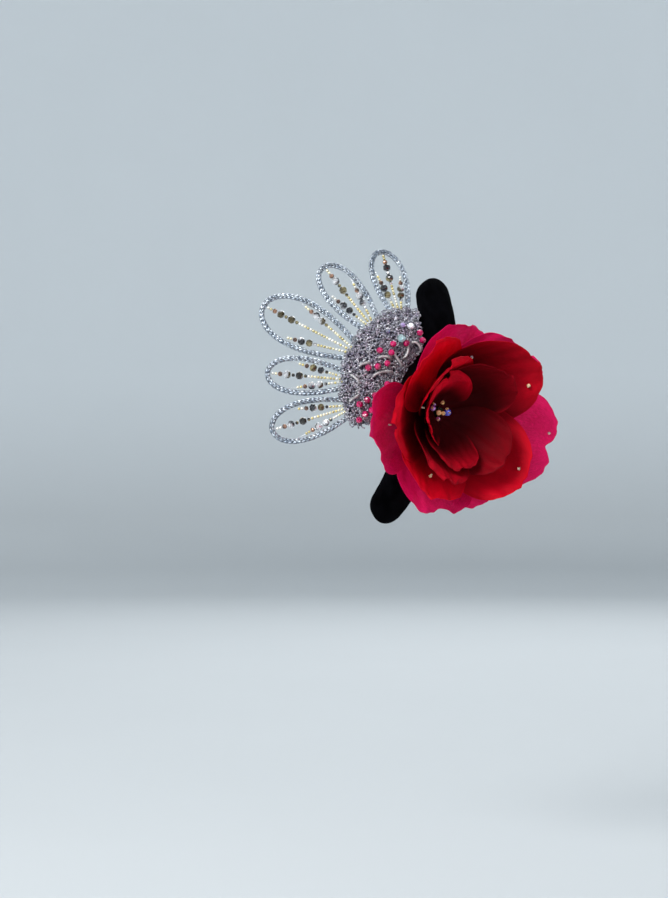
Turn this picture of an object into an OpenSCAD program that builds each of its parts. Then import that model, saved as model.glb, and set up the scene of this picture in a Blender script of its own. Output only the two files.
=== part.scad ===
// Flower hair clip: a padded velvet band with a beaded crochet fan, a layered fabric flower and two
// sprung alligator clips on its back.
// +Z is up and -Y points away from the head. The origin is on the back of the band, at mid-length.

/* [Head form] */
// Radius of the round form that the band and the fan are bent over
form_r = 110; // [108:1:114]

/* [Band] */
// Width of the band at its middle
band_w = 25; // [23:1:26]
// Width of the band near its rounded ends
band_end_w = 18; // [17:1:20]
// Thickness of the padded band
band_h = 6; // [5.5:0.5:7]
// Radius of the crescent that the band's centreline follows
band_arc_r = 167; // [160:1:175]
// Angle of that crescent from end to end
band_sweep = 51; // [49:1:53]

/* [Fan] */
// Diameter of the braided cord in the loops
cord_d = 3.5; // [3:0.1:3.8]
// Outer radius of the crochet base, about the middle of the fan
crochet_r = 46; // [45:1:48]
// Thickness of the crochet base at its rim
crochet_h = 6.5; // [6:0.5:8]
// Diameter of a seed bead
seed_d = 1.7; // [1.5:0.1:1.8]
// Diameter of a faceted bead
facet_d = 4.7; // [4.4:0.1:4.8]

/* [Flower] */
// Thickness of a petal
petal_t = 0.5; // [0.4:0.1:0.6]
// Length of a sheer outer petal from the stem to its rim
sheer_l = 62; // [60:1:64]
// Length of a red petal of the outer cup
red_l = 60; // [57:1:62]
// Length of a petal of the middle cup
middle_l = 50; // [47:1:52]
// Length of a petal of the inner cup
inner_l = 34; // [33:1:36]

/* [Clips] */
// Length of a clip's plate
clip_l = 42; // [40:1:44]
// Width of a clip's plate
clip_w = 8; // [7.6:0.2:9]
// Thickness of the clip's sheet steel
clip_t = 0.7; // [0.6:0.05:0.8]
// Radius of the hinge pin
pin_r = 0.75; // [0.7:0.05:0.8]

/* [Hidden] */
$fn = 48;
PETALS = [for (i = [1:6]) str("sheer_petal_", i), for (i = [1:5]) str("red_petal_", i),
    for (i = [1:4]) str("middle_petal_", i), for (i = [1:3]) str("inner_petal_", i)];
CLIPS = [for (side = ["upper", "lower"], piece = ["pad", "plate", "pin", "spring", "lever"])
    str(side, "_clip_", piece)];
LOOPS = [for (kind = ["cord_loop_", "seed_beads_", "facet_beads_"], i = [1:5]) str(kind, i)];

// Places on the front view: x to the right, z up
form_xz = [-58, 5];
band_arc_xz = [-159.7, 33.9];
band_arc_mid = -12.5;
fan_xz = [-3.2, 7.5];
flower_xz = [-2, -5];
flower_axis = unit([0.53, -0.835, -0.14]);

form_c = [form_xz[0], sqrt(pow(form_r, 2) - pow(form_xz[0], 2) - pow(form_xz[1], 2)), form_xz[1]];
band_l = band_arc_r * band_sweep * PI / 180;

// ---- Points, grids and skins ----

function unit(v) = v / norm(v);
function mix(a, b, t) = a + (b - a) * t;
function clamp01(t) = min(1, max(0, t));

// Outward direction of the head form below the front view's point x, z
function form_normal(x, z) = let (dx = x - form_c.x, dz = z - form_c.z)
    [dx, -sqrt(pow(form_r, 2) - dx * dx - dz * dz), dz] / form_r;
// The point at height h over the head form
function on_form(x, z, h) = form_c + (form_r + h) * form_normal(x, z);

// Closed skin between two grids of points of the same size, each a list of rows
module slab(top, bottom) {
    rows = len(top);
    cols = len(top[0]);
    n = rows * cols;
    mi = floor(rows / 2);
    mj = floor(cols / 2);
    along = top[mi][mj] - top[mi - 1][mj];
    across = top[mi][mj] - top[mi][mj - 1];
    turned = cross(along, across) * (top[mi][mj] - bottom[mi][mj]) < 0;
    faces = concat(
        [for (i = [0:rows - 2], j = [0:cols - 2]) let (a = i * cols + j, b = a + cols, c = n + a, d = n + b)
            each [[a, b + 1, b], [a, a + 1, b + 1], [c, d, d + 1], [c, d + 1, c + 1]]],
        [for (i = [0:rows - 2]) let (a = i * cols, b = a + cols, c = a + cols - 1, d = b + cols - 1)
            each [[n + a, b, n + b], [n + a, a, b], [n + c, n + d, d], [n + c, d, c]]],
        [for (j = [0:cols - 2]) let (a = j, b = j + 1, c = n - cols + j, d = c + 1)
            each [[n + a, n + b, b], [n + a, b, a], [n + c, d, n + d], [n + c, c, d]]]);
    polyhedron([each for (row = top) row, each for (row = bottom) row],
        turned ? [for (f = faces) [f[0], f[2], f[1]]] : faces, convexity = 8);
}

// Round tube of radius r along a path in one plane, whose normal is up
module tube(path, r, up, sides = 8) {
    n = len(path);
    rings = [for (i = [0:n - 1])
        let (t = unit(path[min(i + 1, n - 1)] - path[max(i - 1, 0)]), side = cross(up, t))
            each [for (k = [0:sides - 1]) let (q = 360 * k / sides)
                path[i] + r * (cos(q) * side + sin(q) * up)]];
    walls = [for (i = [0:n - 2], k = [0:sides - 1])
        let (a = i * sides + k, d = i * sides + (k + 1) % sides)
            each [[a, a + sides, d + sides], [a, d + sides, d]]];
    polyhedron(rings, concat(walls, [[for (k = [0:sides - 1]) k],
        [for (k = [0:sides - 1]) n * sides - 1 - k]]), convexity = 8);
}

// Puts a piece that is drawn along x, y and z into the frame of three unit vectors at o
module place(o, x, y, z) {
    multmatrix([[x.x, y.x, z.x, o.x], [x.y, y.y, z.y, o.y], [x.z, y.z, z.z, o.z], [0, 0, 0, 1]]) children();
}

// Straight round rod from a to b
module rod(a, b, r) {
    v = b - a;
    translate(a) rotate([0, acos(v.z / norm(v)), atan2(v.y, v.x)]) cylinder(r = r, h = norm(v));
}

// ---- Band ----

// Half width of the band's outline drawn in by inset, at s along the centreline
function band_half(s, inset) = let (w = mix(band_end_w, band_w, sin(180 * s / band_l)) / 2 - inset,
    e = clamp01((min(s, band_l - s) - inset) / w)) max(0.3, w * sqrt(1 - pow(1 - e, 2)));
// Height of a crowned shell of that outline, y off the centreline
function band_crown(s, y, inset, top) = let (w = band_half(s, inset), full = band_w / 2 - inset)
    top * pow(min(1, w / full), 0.4) * sqrt(max(0, 1 - pow(min(1, abs(y) / w), 3.5)));
// Point on the band, s along it, y across it and h over the head form
function band_point(s, y, h) = let (a = band_arc_mid + (0.5 - s / band_l) * band_sweep, r = band_arc_r + y)
    on_form(band_arc_xz[0] + r * cos(a), band_arc_xz[1] + r * sin(a), h);
function band_stations(inset, n) = [for (i = [0:n])
    inset + (band_l - 2 * inset) * (1 - cos(180 * i / n)) / 2];
// Grid of the crowned shell
function crown_grid(inset, top, n, m) = [for (s = band_stations(inset, n)) [for (j = [-m:m])
    let (y = band_half(s, inset) * sin(90 * j / m)) band_point(s, y, band_crown(s, y, inset, top))]];
// Grid of a level layer at height h
function level_grid(inset, h, n, m) = [for (s = band_stations(inset, n)) [for (j = [-m:m])
    band_point(s, band_half(s, inset) * j / m, h)]];

velvet_t = 0.7;
lining_h = 0.9;
core_h = 1.8;

module velvet_cover() {
    color("#0b0b0d") slab(crown_grid(0, band_h, 22, 6), crown_grid(velvet_t, band_h - velvet_t, 22, 6));
}

module band_padding() {
    inset = 2.6;
    room = band_h - velvet_t - 0.4;
    top = [for (s = band_stations(inset, 20)) [for (j = [-3:3]) let (y = band_half(s, inset) * j / 3)
        band_point(s, y, max(core_h + 0.3, band_crown(s, y, velvet_t, room)))]];
    color("#d8d4c8") slab(top, level_grid(inset, core_h + 0.15, 20, 3));
}

module band_core() {
    color("#c9bda0") slab(level_grid(2.6, core_h, 20, 2), level_grid(2.6, lining_h + 0.15, 20, 2));
}

module felt_lining() {
    color("#17171a") slab(level_grid(1.8, lining_h, 20, 2), level_grid(1.8, 0, 20, 2));
}

// ---- Fan: felt, crochet base, cord loops and beads ----

fan_from = 95;
fan_to = 213;
fan_felt_r = 20;
// Angle, reach to the tip and width of each loop, from the top one down
loop_spec = [[107, 79, 22], [130, 86, 23], [153.4, 98.5, 29], [175.3, 86, 20.5], [196, 86.5, 22]];
loop_root_r = 39;
loop_lift = [2.2, 6.5];

function fan_point(a, r, h) = on_form(fan_xz[0] + r * cos(a), fan_xz[1] + r * sin(a), h);

// Felt patch that joins the fan to the band's left half
module fan_felt() {
    right = 0;
    left = fan_xz[0] - 33;
    function half(x) = x <= fan_xz[0] - fan_felt_r ? 2
        : sqrt(pow(fan_felt_r, 2) - pow(min(0, x - fan_xz[0]), 2)) * 0.94 + 1;
    xs = [for (i = [0:10]) mix(fan_xz[0] - fan_felt_r + 0.5, right, i / 10)];
    function grid(h) = [for (x = xs) [for (j = [-4:4]) on_form(x, fan_xz[1] + half(x) * j / 4, h)]];
    color("#101012") slab(grid(-0.3), grid(-1.4));
}

// Distance of the crochet's inner edge from the fan's middle: a slanting line beside the band
function crochet_inner(a) = 13.5 + 8 * pow((a - 150) / 60, 2);

// Its outer edge, drawn in at the two ends
function crochet_outer(a) = crochet_r - 5 * pow(clamp01((fan_from + 14 - a) / 14), 2)
    - 8 * pow(clamp01((a - fan_to + 10) / 10), 2);

module crochet_base() {
    over_cord = loop_lift[0] + cord_d / 2 + 0.35;
    function reach(a, k) = mix(crochet_inner(a), crochet_outer(a), k);
    function top(k) = crochet_h + 1.6 * sin(180 * k);
    function under(r) = r > loop_root_r - 3.5 ? over_cord : 0.3;
    ks = [0, 0.15, 0.3, 0.45, 0.6, 0.7, 0.8, 0.86, 0.93, 1];
    as = [for (i = [0:14]) mix(fan_from, fan_to, i / 14)];
    color("#b9bcc6") slab([for (a = as) [for (k = ks) fan_point(a, reach(a, k), top(k))]],
        [for (a = as) [for (k = ks) fan_point(a, reach(a, k), under(reach(a, k)))]]);
}

// Frame of loop i: x from its root to its tip, z away from the head
module in_loop(i) {
    spec = loop_spec[i];
    root = fan_point(spec[0], loop_root_r, loop_lift[0]);
    tip = fan_point(spec[0], spec[1], loop_lift[1]);
    x = unit(tip - root);
    y = unit(cross(form_normal(root.x, root.z), x));
    place(root, x, y, cross(x, y)) children();
}

function loop_l(i) = norm(fan_point(loop_spec[i][0], loop_spec[i][1], loop_lift[1])
    - fan_point(loop_spec[i][0], loop_root_r, loop_lift[0]));
// Teardrop that the cord's centreline follows: f runs from 0 at one root through 180 at the tip to 360
function loop_point(i, f) = let (l = loop_l(i), half = loop_spec[i][2] / 2 - cord_d / 2)
    [l * (1 - cos(f)) / 2, half / 0.77 * sin(f) * sin(f / 2) + (cord_d / 2 + 0.6) * cos(f / 2), 0];

module cord_loop(i) {
    color("#aeb2bb") in_loop(i) tube([for (k = [0:36]) loop_point(i, k * 10)], cord_d / 2, [0, 0, 1]);
}

// Strand j of a loop, -1, 0 or 1: where it leaves the crochet and where it meets the cord
function strand_start(i, j) = [1, j * 0.4, 0];
function strand_end(i, j) = let (gap = cord_d / 2 + 0.3) j == 0 ? [loop_l(i) - gap, 0, 0]
    : let (p = loop_point(i, j > 0 ? 116 : 244)) [p.x, p.y - j * gap, 0];
// Bare wire at the cord and at the root, where the strands lie close together
function bare_end(j) = j == 0 ? 0.1 : 3.4;
bare_root = 5.4;
// Diameters of the larger beads of a strand, counted from the cord back to the root
function facet_run(j) = j == 0 ? [3, facet_d, 2.2, facet_d, 2.2] : [2.8, facet_d, facet_d - 0.3, 2.2];
bead_gap = 0.08;
tip_seeds = 2;
function run_l(run) = len(run) == 0 ? 0 : run[0] + bead_gap + run_l([for (k = [1:1:len(run) - 1]) run[k]]);
// Distances back from the cord of the seed beads that follow the large ones
function seed_places(i, j) = let (l = norm(strand_end(i, j) - strand_start(i, j)), pitch = seed_d + bead_gap,
    first = bare_end(j), taken = first + tip_seeds * pitch + run_l(facet_run(j)),
    n = floor((l - taken - bare_root) / pitch))
    concat([for (k = [0:tip_seeds - 1]) first + (k + 0.5) * pitch],
        [for (k = [0:n - 1]) taken + (k + 0.5) * pitch]);
function facet_places(j) = let (run = facet_run(j)) [for (k = [0:len(run) - 1])
    bare_end(j) + tip_seeds * (seed_d + bead_gap) + run_l([for (q = [0:1:k - 1]) run[q]]) + run[k] / 2];

// Frame of a strand: x from the cord back to the root
module in_strand(i, j) {
    a = strand_end(i, j);
    x = unit(strand_start(i, j) - a);
    place(a, x, [-x.y, x.x, 0], [0, 0, 1]) children();
}

module bead(d, hole = 0.6) {
    difference() {
        sphere(d = d);
        rotate([0, 90, 0]) cylinder(d = hole, h = d + 1, center = true);
    }
}

module strand_wires() {
    color("#c8c8cc") for (i = [0:4]) in_loop(i) for (j = [-1:1])
        rod(strand_end(i, j), strand_start(i, j), 0.15);
}

module seed_beads(i) {
    color("#cdb564") in_loop(i) for (j = [-1:1]) in_strand(i, j)
        for (x = seed_places(i, j)) translate([x, 0, 0]) bead(seed_d);
}

module facet_beads(i) {
    color("#4a4744") in_loop(i) for (j = [-1:1]) in_strand(i, j)
        for (k = [0:len(facet_run(j)) - 1]) translate([facet_places(j)[k], 0, 0]) bead(facet_run(j)[k]);
}

// Angle and reach of each glass bead sewn on the crochet, in groups
magenta_at = [[97, 24.5], [99.5, 28.6], [118, 25.5], [131, 29], [139, 26.5], [145, 32], [152, 25], [160, 29],
    [164, 33.5], [178, 22], [190, 29], [193, 33.5], [195, 38], [203, 33], [204, 37], [206, 41]];
magenta_r = 1.7;
crystal_at = [[107, 33, 2.1], [121, 29, 2.6], [113, 35, 1.6], [127, 36, 1.5]];
function crochet_top(a, r) = let (inner = crochet_inner(a))
    crochet_h + 1.6 * sin(180 * clamp01((r - inner) / (crochet_r - inner)));

module magenta_beads() {
    color("#b0144f") for (p = magenta_at)
        translate(fan_point(p[0], p[1], crochet_top(p[0], p[1]) + magenta_r + 0.2)) sphere(r = magenta_r);
}

module crystals() {
    color("#bfd8e6") for (p = crystal_at)
        translate(fan_point(p[0], p[1], crochet_top(p[0], p[1]) + p[2] + 0.2)) sphere(r = p[2]);
}

// ---- Flower ----

flower_lift = 9.2;
stem_r = 2.6;
stem_h = 10;
flower_right = unit([1, 0, 0] - flower_axis.x * flower_axis);
flower_up = cross(flower_axis, flower_right);

module in_flower() {
    place(on_form(flower_xz[0], flower_xz[1], flower_lift), flower_right, flower_up, flower_axis) children();
}

// A petal is a list: azimuth, length, width, lean off the axis at the stem and at the rim,
// radius and height where it starts, how far its rim flares out, and how far one edge laps the next
function sheer(i) = let (az = [70, 30, -20, -60, -102, -172][i], more = [-14, 0, 11, -2, -4, 3][i],
    width = [50, 52, 56, 52, 54, 52][i], rim = [60, 48, 48, 44, 36, 30][i])
    [az, sheer_l + more, width, 88, rim, 3.4, 1.15, 3, 1.8];
function red(i) = let (az = [36, 119, 180, 241, 310][i], more = [0, -2, -2, -2, 0][i],
    width = [56, 50, 52, 53, 56][i]) [az, red_l + more, width, 80, 12, 3.4, 3.3, 5, 1.3];
function middle(i) = let (az = [45, 119, 233, 308][i]) [az, middle_l, 44, 66, 4, 3.4, 5.5, 2, 1.25];
function inner(i) = let (az = [105, 188, 260][i], more = [-3, 0, 6][i], width = [31, 30, 32][i])
    [az, inner_l + more, width, 62, 4, 3.2, 7.8, 1, 1.2];

function petal_half(p, u) = let (full = p[2] / 2, w = u < 0.6 ? mix(0.07, 1, sin(150 * u))
    : sqrt(max(0.02, 1 - pow((u - 0.6) / 0.4, 2.6)))) full * w;
// Point of petal p: u from the stem to the rim, v from -1 to 1 across it
function petal_point(p, u, v) = let (turn = (p[4] - p[3]) * PI / 180, lean = mix(p[3], p[4], u),
    lift = p[8] * v * min(1, 0.3 + 3 * u),
    r = p[5] + p[1] * (cos(p[3]) - cos(lean)) / turn + p[7] * pow(u, 4),
    h = p[6] + p[1] * (sin(lean) - sin(p[3])) / turn,
    bend_r = r + 2,
    a = v * petal_half(p, u) / bend_r * 180 / PI,
    out = r - bend_r * (1 - cos(a)) - lift * cos(lean),
    side = bend_r * sin(a))
    [out * cos(p[0]) - side * sin(p[0]), out * sin(p[0]) + side * cos(p[0]), h + lift * sin(lean)];
function petal_normal(p, u, v) = let (e = 0.01, along = petal_point(p, u + e, v) - petal_point(p, u - e, v))
    unit(cross(along, petal_point(p, u, v + e) - petal_point(p, u, v - e)));

module petal(p) {
    us = [0.01, 0.12, 0.25, 0.4, 0.55, 0.68, 0.8, 0.9, 0.98];
    vs = [-1, -0.7, -0.35, 0, 0.35, 0.7, 1];
    function side(d) = [for (u = us) [for (v = vs) petal_point(p, u, v) + petal_normal(p, u, v) * d]];
    in_flower() slab(side(petal_t / 2), side(-petal_t / 2));
}

module flower_disc() {
    color("#141216") in_flower() translate([0, 0, -1.2]) cylinder(r = 13, h = 1.2);
}

module flower_stem() {
    color("#2f5a34") in_flower() translate([0, 0, 0.05]) cylinder(r = stem_r, h = stem_h);
}

// Place across the flower, height over its base and radius of each bead at the flower's heart
stamen_at = [[-2, 4.5, 20, 1.2], [-8.4, 1.8, 19, 1.6], [-5.4, -0.9, 20.5, 1.6], [-3, -1.6, 21.5, 1.5],
    [1.4, -2, 20, 2.2], [-4.6, -5.2, 19, 1.2], [-7.4, 5.4, 17, 0.9], [-0.6, 0.9, 23, 0.9]];
function stamen_foot(p) = [p[0] * 0.25, p[1] * 0.25, stem_h + 0.15];

module stamen_wires() {
    color("#b8924a") in_flower() for (p = stamen_at) {
        a = stamen_foot(p);
        b = [p[0], p[1], p[2]];
        rod(a, b - unit(b - a) * (p[3] + 0.05), 0.22);
    }
}

module stamen_beads() {
    color("#7a3fb0") in_flower() for (p = stamen_at) translate([p[0], p[1], p[2]]) sphere(r = p[3]);
}

dew_r = 1;
// Petal, place along it and place across it for each bead sewn near a rim
dew_at = [[red(0), 0.6, 0.62], [red(0), 0.85, -0.52], [sheer(2), 0.93, 0.38], [red(4), 0.9, 0.3],
    [red(3), 0.73, 0.02], [sheer(5), 0.56, -0.05], [middle(1), 0.62, 0.8]];

module dew_beads() {
    lift = dew_r + petal_t / 2 + 0.4;
    color("#e0c47c") in_flower() for (d = dew_at)
        translate(petal_point(d[0], d[1], d[2]) + petal_normal(d[0], d[1], d[2]) * lift) sphere(r = dew_r);
}

// ---- Clips ----

clip_pad_t = 2.5;
pin_x = -6;
pin_z = 3.2;
thumb_x = -clip_l / 2;
tip_x = clip_l / 2;
lever_w = clip_w - 2;
ear_t = 0.6;
clip_sweep = [upper_clip_angle(), lower_clip_angle()];

// Angle on the band's arc at which a clip's middle lies, from its height on the front view
function upper_clip_angle() = asin((43 - band_arc_xz[1]) / band_arc_r);
function lower_clip_angle() = asin((-42 - band_arc_xz[1]) / band_arc_r);

// Frame of a clip: x down along the band, z towards the head, from the band's back
module in_clip(i) {
    a = clip_sweep[i];
    function at(q) = on_form(band_arc_xz[0] + band_arc_r * cos(q), band_arc_xz[1] + band_arc_r * sin(q), 0);
    n = (form_c - at(a)) / form_r;
    x = unit(at(a - 1) - at(a + 1));
    place(at(a), x, cross(n, x), n) children();
}

// Felt pad between the round back of the band and the flat plate
module clip_pad(i) {
    half_l = 16;
    half_w = clip_w / 2 - 0.6;
    function rise(x, y) = form_r - sqrt(pow(form_r, 2) - x * x - y * y) + 0.3;
    function grid(flat) = [for (k = [-6:6]) [for (j = [-1:1])
        let (x = half_l * k / 6, y = half_w * j) [x, y, flat ? clip_pad_t - 0.05 : rise(x, y)]]];
    color("#19191c") in_clip(i) slab(grid(false), grid(true));
}

module clip_plate(i) {
    color("#c9ccd2") in_clip(i) translate([0, 0, clip_pad_t]) difference() {
        union() {
            linear_extrude(clip_t) {
                square([clip_l - clip_w, clip_w], center = true);
                for (x = [-1, 1]) translate([x * (clip_l - clip_w) / 2, 0]) circle(d = clip_w);
            }
            for (y = [-clip_w / 2, clip_w / 2 - ear_t]) translate([pin_x, y + ear_t, 0]) rotate([90, 0, 0])
                linear_extrude(ear_t) {
                    translate([-2, clip_t / 2]) square([4, pin_z - clip_t / 2]);
                    translate([0, pin_z]) circle(r = 2);
                }
        }
        translate([pin_x, 0, pin_z]) rotate([90, 0, 0])
            cylinder(r = pin_r + 0.05, h = clip_w + 2, center = true);
    }
}

module clip_pin(i) {
    color("#a9adb3") in_clip(i) translate([pin_x, 0, clip_pad_t + pin_z]) rotate([90, 0, 0]) {
        cylinder(r = pin_r, h = clip_w + 0.6, center = true);
        for (s = [-1, 1]) translate([0, 0, s * (clip_w / 2 + 0.3)])
            cylinder(r = pin_r + 0.5, h = 0.5, center = true);
    }
}

// Height of the middle of the lever's sheet over the plate's face, x along the clip
function lever_z(x) = x > pin_x ? 5.05 - 3.6 * pow((x - pin_x) / (tip_x - pin_x), 1.6)
    : 5.05 + 3.4 * pow((pin_x - x) / (pin_x - thumb_x), 1.3);
// Outline of a strip of thickness t about a list of points
function strip(pts, t) = let (n = len(pts), side = [for (i = [0:n - 1])
    let (d = unit(pts[min(i + 1, n - 1)] - pts[max(i - 1, 0)])) [-d.y, d.x] * t / 2])
    concat([for (i = [0:n - 1]) pts[i] + side[i]], [for (i = [n - 1:-1:0]) pts[i] - side[i]]);

module across(w) {
    translate([0, w / 2, 0]) rotate([90, 0, 0]) linear_extrude(w) children();
}

module clip_lever(i) {
    tooth_l = 1.6;
    xs = [for (k = [0:20]) mix(thumb_x, tip_x - 0.5, k / 20)];
    color("#c9ccd2") in_clip(i) translate([0, 0, clip_pad_t]) difference() {
        union() {
            across(lever_w) polygon(strip([for (x = xs) [x, lever_z(x)]], clip_t));
            for (y = [-1, 1]) translate([0, y * (lever_w / 2 - 0.55), 0]) across(1) {
                translate([pin_x, pin_z]) circle(r = 1.6);
                translate([pin_x - 1.6, pin_z]) square([3.2, lever_z(pin_x) - pin_z]);
            }
            for (k = [0:3]) let (x = tip_x - 1 - k * 2.4) across(lever_w)
                polygon([[x, lever_z(x)], [x - tooth_l, lever_z(x - tooth_l)],
                    [x, clip_t + 0.12 + k * 0.22]]);
        }
        translate([pin_x, 0, pin_z]) rotate([90, 0, 0])
            cylinder(r = pin_r + 0.05, h = clip_w + 2, center = true);
    }
}

module clip_spring(i) {
    leaf_t = 0.3;
    bow_r = 1.15;
    bow = [for (a = [-95:19:95]) [pin_x + bow_r * cos(a), pin_z + bow_r * sin(a)]];
    color("#8f9399") in_clip(i) translate([0, 0, clip_pad_t]) across(3.4)
        polygon(strip(concat([[-17, clip_t + 0.25], [-12, 1.35]], bow, [[-11, 5.15], [-16.5, 6.35]]),
            leaf_t));
}

// ---- Nodes ----

velvet_cover();
band_padding();
band_core();
felt_lining();
fan_felt();
crochet_base();
strand_wires();
magenta_beads();
crystals();
for (i = [0:4]) {
    cord_loop(i);
    seed_beads(i);
    facet_beads(i);
}
flower_disc();
flower_stem();
stamen_wires();
stamen_beads();
dew_beads();
for (i = [0:5]) color("#c01a4e") petal(sheer(i));
for (i = [0:4]) color("#c8101c") petal(red(i));
for (i = [0:3]) color("#b80d18") petal(middle(i));
for (i = [0:2]) color("#a30a14") petal(inner(i));
for (i = [0:1]) let (side = ["upper", "lower"][i]) {
    clip_pad(i);
    clip_plate(i);
    clip_pin(i);
    clip_spring(i);
    clip_lever(i);
}
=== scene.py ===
"""Looks of a flower hair clip: a padded velvet band, a beaded crochet fan, a layered fabric flower and
two sprung clips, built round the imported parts. Shapes are worked out in millimetres, as the part's are,
and become metres when they are put into a mesh. +Z is up and -Y points away from the wearer's head."""

import bpy
import numpy as np
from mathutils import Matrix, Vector


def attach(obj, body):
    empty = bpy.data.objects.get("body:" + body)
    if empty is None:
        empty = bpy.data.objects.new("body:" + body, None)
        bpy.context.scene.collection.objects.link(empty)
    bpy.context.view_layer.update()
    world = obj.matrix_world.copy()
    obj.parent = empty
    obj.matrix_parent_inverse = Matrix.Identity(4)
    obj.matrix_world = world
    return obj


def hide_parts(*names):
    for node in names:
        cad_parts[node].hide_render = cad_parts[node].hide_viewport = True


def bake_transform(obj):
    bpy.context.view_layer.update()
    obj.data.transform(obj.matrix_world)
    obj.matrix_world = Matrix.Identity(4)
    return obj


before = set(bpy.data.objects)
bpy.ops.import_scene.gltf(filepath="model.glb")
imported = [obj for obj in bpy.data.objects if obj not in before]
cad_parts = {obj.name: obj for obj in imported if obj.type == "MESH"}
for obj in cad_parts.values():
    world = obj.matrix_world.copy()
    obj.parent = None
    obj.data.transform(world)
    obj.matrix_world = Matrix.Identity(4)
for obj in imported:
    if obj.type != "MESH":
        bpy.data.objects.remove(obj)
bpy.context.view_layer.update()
MM = 0.001
BODY = "ornament"
TAU = 2 * np.pi


# ---- Vectors, meshes and heaps of closed shapes ----


def unit(v):
    """v divided by its length, along the last axis."""
    v = np.asarray(v, float)
    return v / np.linalg.norm(v, axis=-1, keepdims=True)


def mix(a, b, t):
    """The straight blend from a to b at t."""
    return a + (b - a) * t


def smooth(t):
    """The S-shaped step 3t^2 - 2t^3 from 0 to 1, flat outside."""
    t = np.clip(t, 0, 1)
    return t * t * (3 - 2 * t)


def waves(t, rng, count=4, low=1.0, high=4.0):
    """A smooth random wave of about unit size: the mean of a few sines of random pitch and phase."""
    pitch = rng.uniform(low, high, count)
    phase = rng.uniform(0, TAU, count)
    return np.sin(np.multiply.outer(t, pitch) * TAU + phase).sum(-1) / np.sqrt(count)


def turn_round(count):
    """Angles of count points spaced evenly round a circle."""
    return np.linspace(0, TAU, count + 1)[:-1]


def grid_quads(rows, cols, wrap=False):
    """Quads of a grid of points, closed across its columns if wrap is true, and their corners' (row, col)."""
    i, j = np.meshgrid(np.arange(rows - 1), np.arange(cols if wrap else cols - 1), indexing="ij")
    i, j = i.ravel(), j.ravel()
    corner_i = np.stack([i, i + 1, i + 1, i], 1)
    corner_j = np.stack([j, j, j + 1, j + 1], 1)
    return corner_i * cols + corner_j % cols, np.stack([corner_i, corner_j], -1).astype(float)


def outward(verts, quads, tris):
    """True if the closed shape's signed volume is positive, so that its faces point outwards."""
    faces = np.concatenate([quads[:, [0, 1, 2]], quads[:, [0, 2, 3]], tris])
    a, b, c = (verts[faces[:, k]] for k in range(3))
    return np.einsum("ij,ij->i", a - verts.mean(0), np.cross(b - verts.mean(0), c - verts.mean(0))).sum() > 0


def solid(verts, quads, tris, quad_uv=None, tri_uv=None):
    """A closed shape as a dict, with its faces turned to point outwards."""
    quads = np.asarray(quads, int).reshape(-1, 4)
    tris = np.asarray(tris, int).reshape(-1, 3)
    quad_uv = np.zeros((len(quads), 4, 2)) if quad_uv is None else quad_uv
    tri_uv = np.zeros((len(tris), 3, 2)) if tri_uv is None else tri_uv
    if not outward(verts, quads, tris):
        quads, quad_uv = quads[:, ::-1], quad_uv[:, ::-1]
        tris, tri_uv = tris[:, ::-1], tri_uv[:, ::-1]
    return {"verts": verts, "quads": quads, "tris": tris, "quad_uv": quad_uv, "tri_uv": tri_uv}


def tube(rings, size=(1.0, 1.0)):
    """A closed skin over rings of points, with each end drawn to a pole. size is its u and v extent."""
    rows, cols = rings.shape[:2]
    quads, at = grid_quads(rows, cols, wrap=True)
    poles = np.array([rings[0].mean(0), rings[-1].mean(0)])
    verts = np.concatenate([rings.reshape(-1, 3), poles])
    j = np.arange(cols)
    k = (j + 1) % cols
    n = rows * cols
    first = np.stack([np.full(cols, n), k, j], 1)
    last = np.stack([np.full(cols, n + 1), n - cols + j, n - cols + k], 1)
    scale = np.array([size[0] / (rows - 1), size[1] / cols])
    ends = np.stack([np.stack([j + 0.5, j + 1, j], 1), np.stack([j + 0.5, j, j + 1], 1)])
    u = np.zeros_like(ends)
    u[1] = rows - 1
    tri_uv = np.stack([u, ends], -1).reshape(-1, 3, 2) * scale
    return solid(verts, quads, np.concatenate([first, last]), at * scale, tri_uv)


def tubes(rings):
    """Many short tubes in one go, from rings of points (tube, ring, point, xyz), each end drawn to a pole."""
    count, rows, cols = rings.shape[:3]
    one = tube(rings[0])
    poles = rings[:, [0, -1]].mean(2)
    verts = np.concatenate([rings.reshape(count, -1, 3), poles], 1)
    jump = (np.arange(count) * (rows * cols + 2))[:, None, None]
    return {"verts": verts.reshape(-1, 3), "quads": (one["quads"] + jump).reshape(-1, 4),
            "tris": (one["tris"] + jump).reshape(-1, 3), "quad_uv": np.tile(one["quad_uv"], (count, 1, 1)),
            "tri_uv": np.tile(one["tri_uv"], (count, 1, 1))}


def shell(top, bottom, size=(1.0, 1.0)):
    """A closed skin between two grids of the same shape: both faces and the strip round their edge."""
    rows, cols = top.shape[:2]
    n = rows * cols
    quads, at = grid_quads(rows, cols)
    edge = np.concatenate([np.arange(cols), np.arange(1, rows) * cols + cols - 1,
                           n - 2 - np.arange(cols - 1), np.arange(rows - 2, 0, -1) * cols])
    after = np.roll(edge, -1)
    strip = np.stack([edge, after, after + n, edge + n], 1)
    strip_at = np.stack([strip % n // cols, strip % n % cols], -1).astype(float)
    scale = np.array([size[0] / (rows - 1), size[1] / (cols - 1)])
    uv = np.concatenate([at, at[:, ::-1], strip_at]) * scale
    verts = np.concatenate([top.reshape(-1, 3), bottom.reshape(-1, 3)])
    return solid(verts, np.concatenate([quads, quads[:, ::-1] + n, strip]), [], uv)


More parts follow.
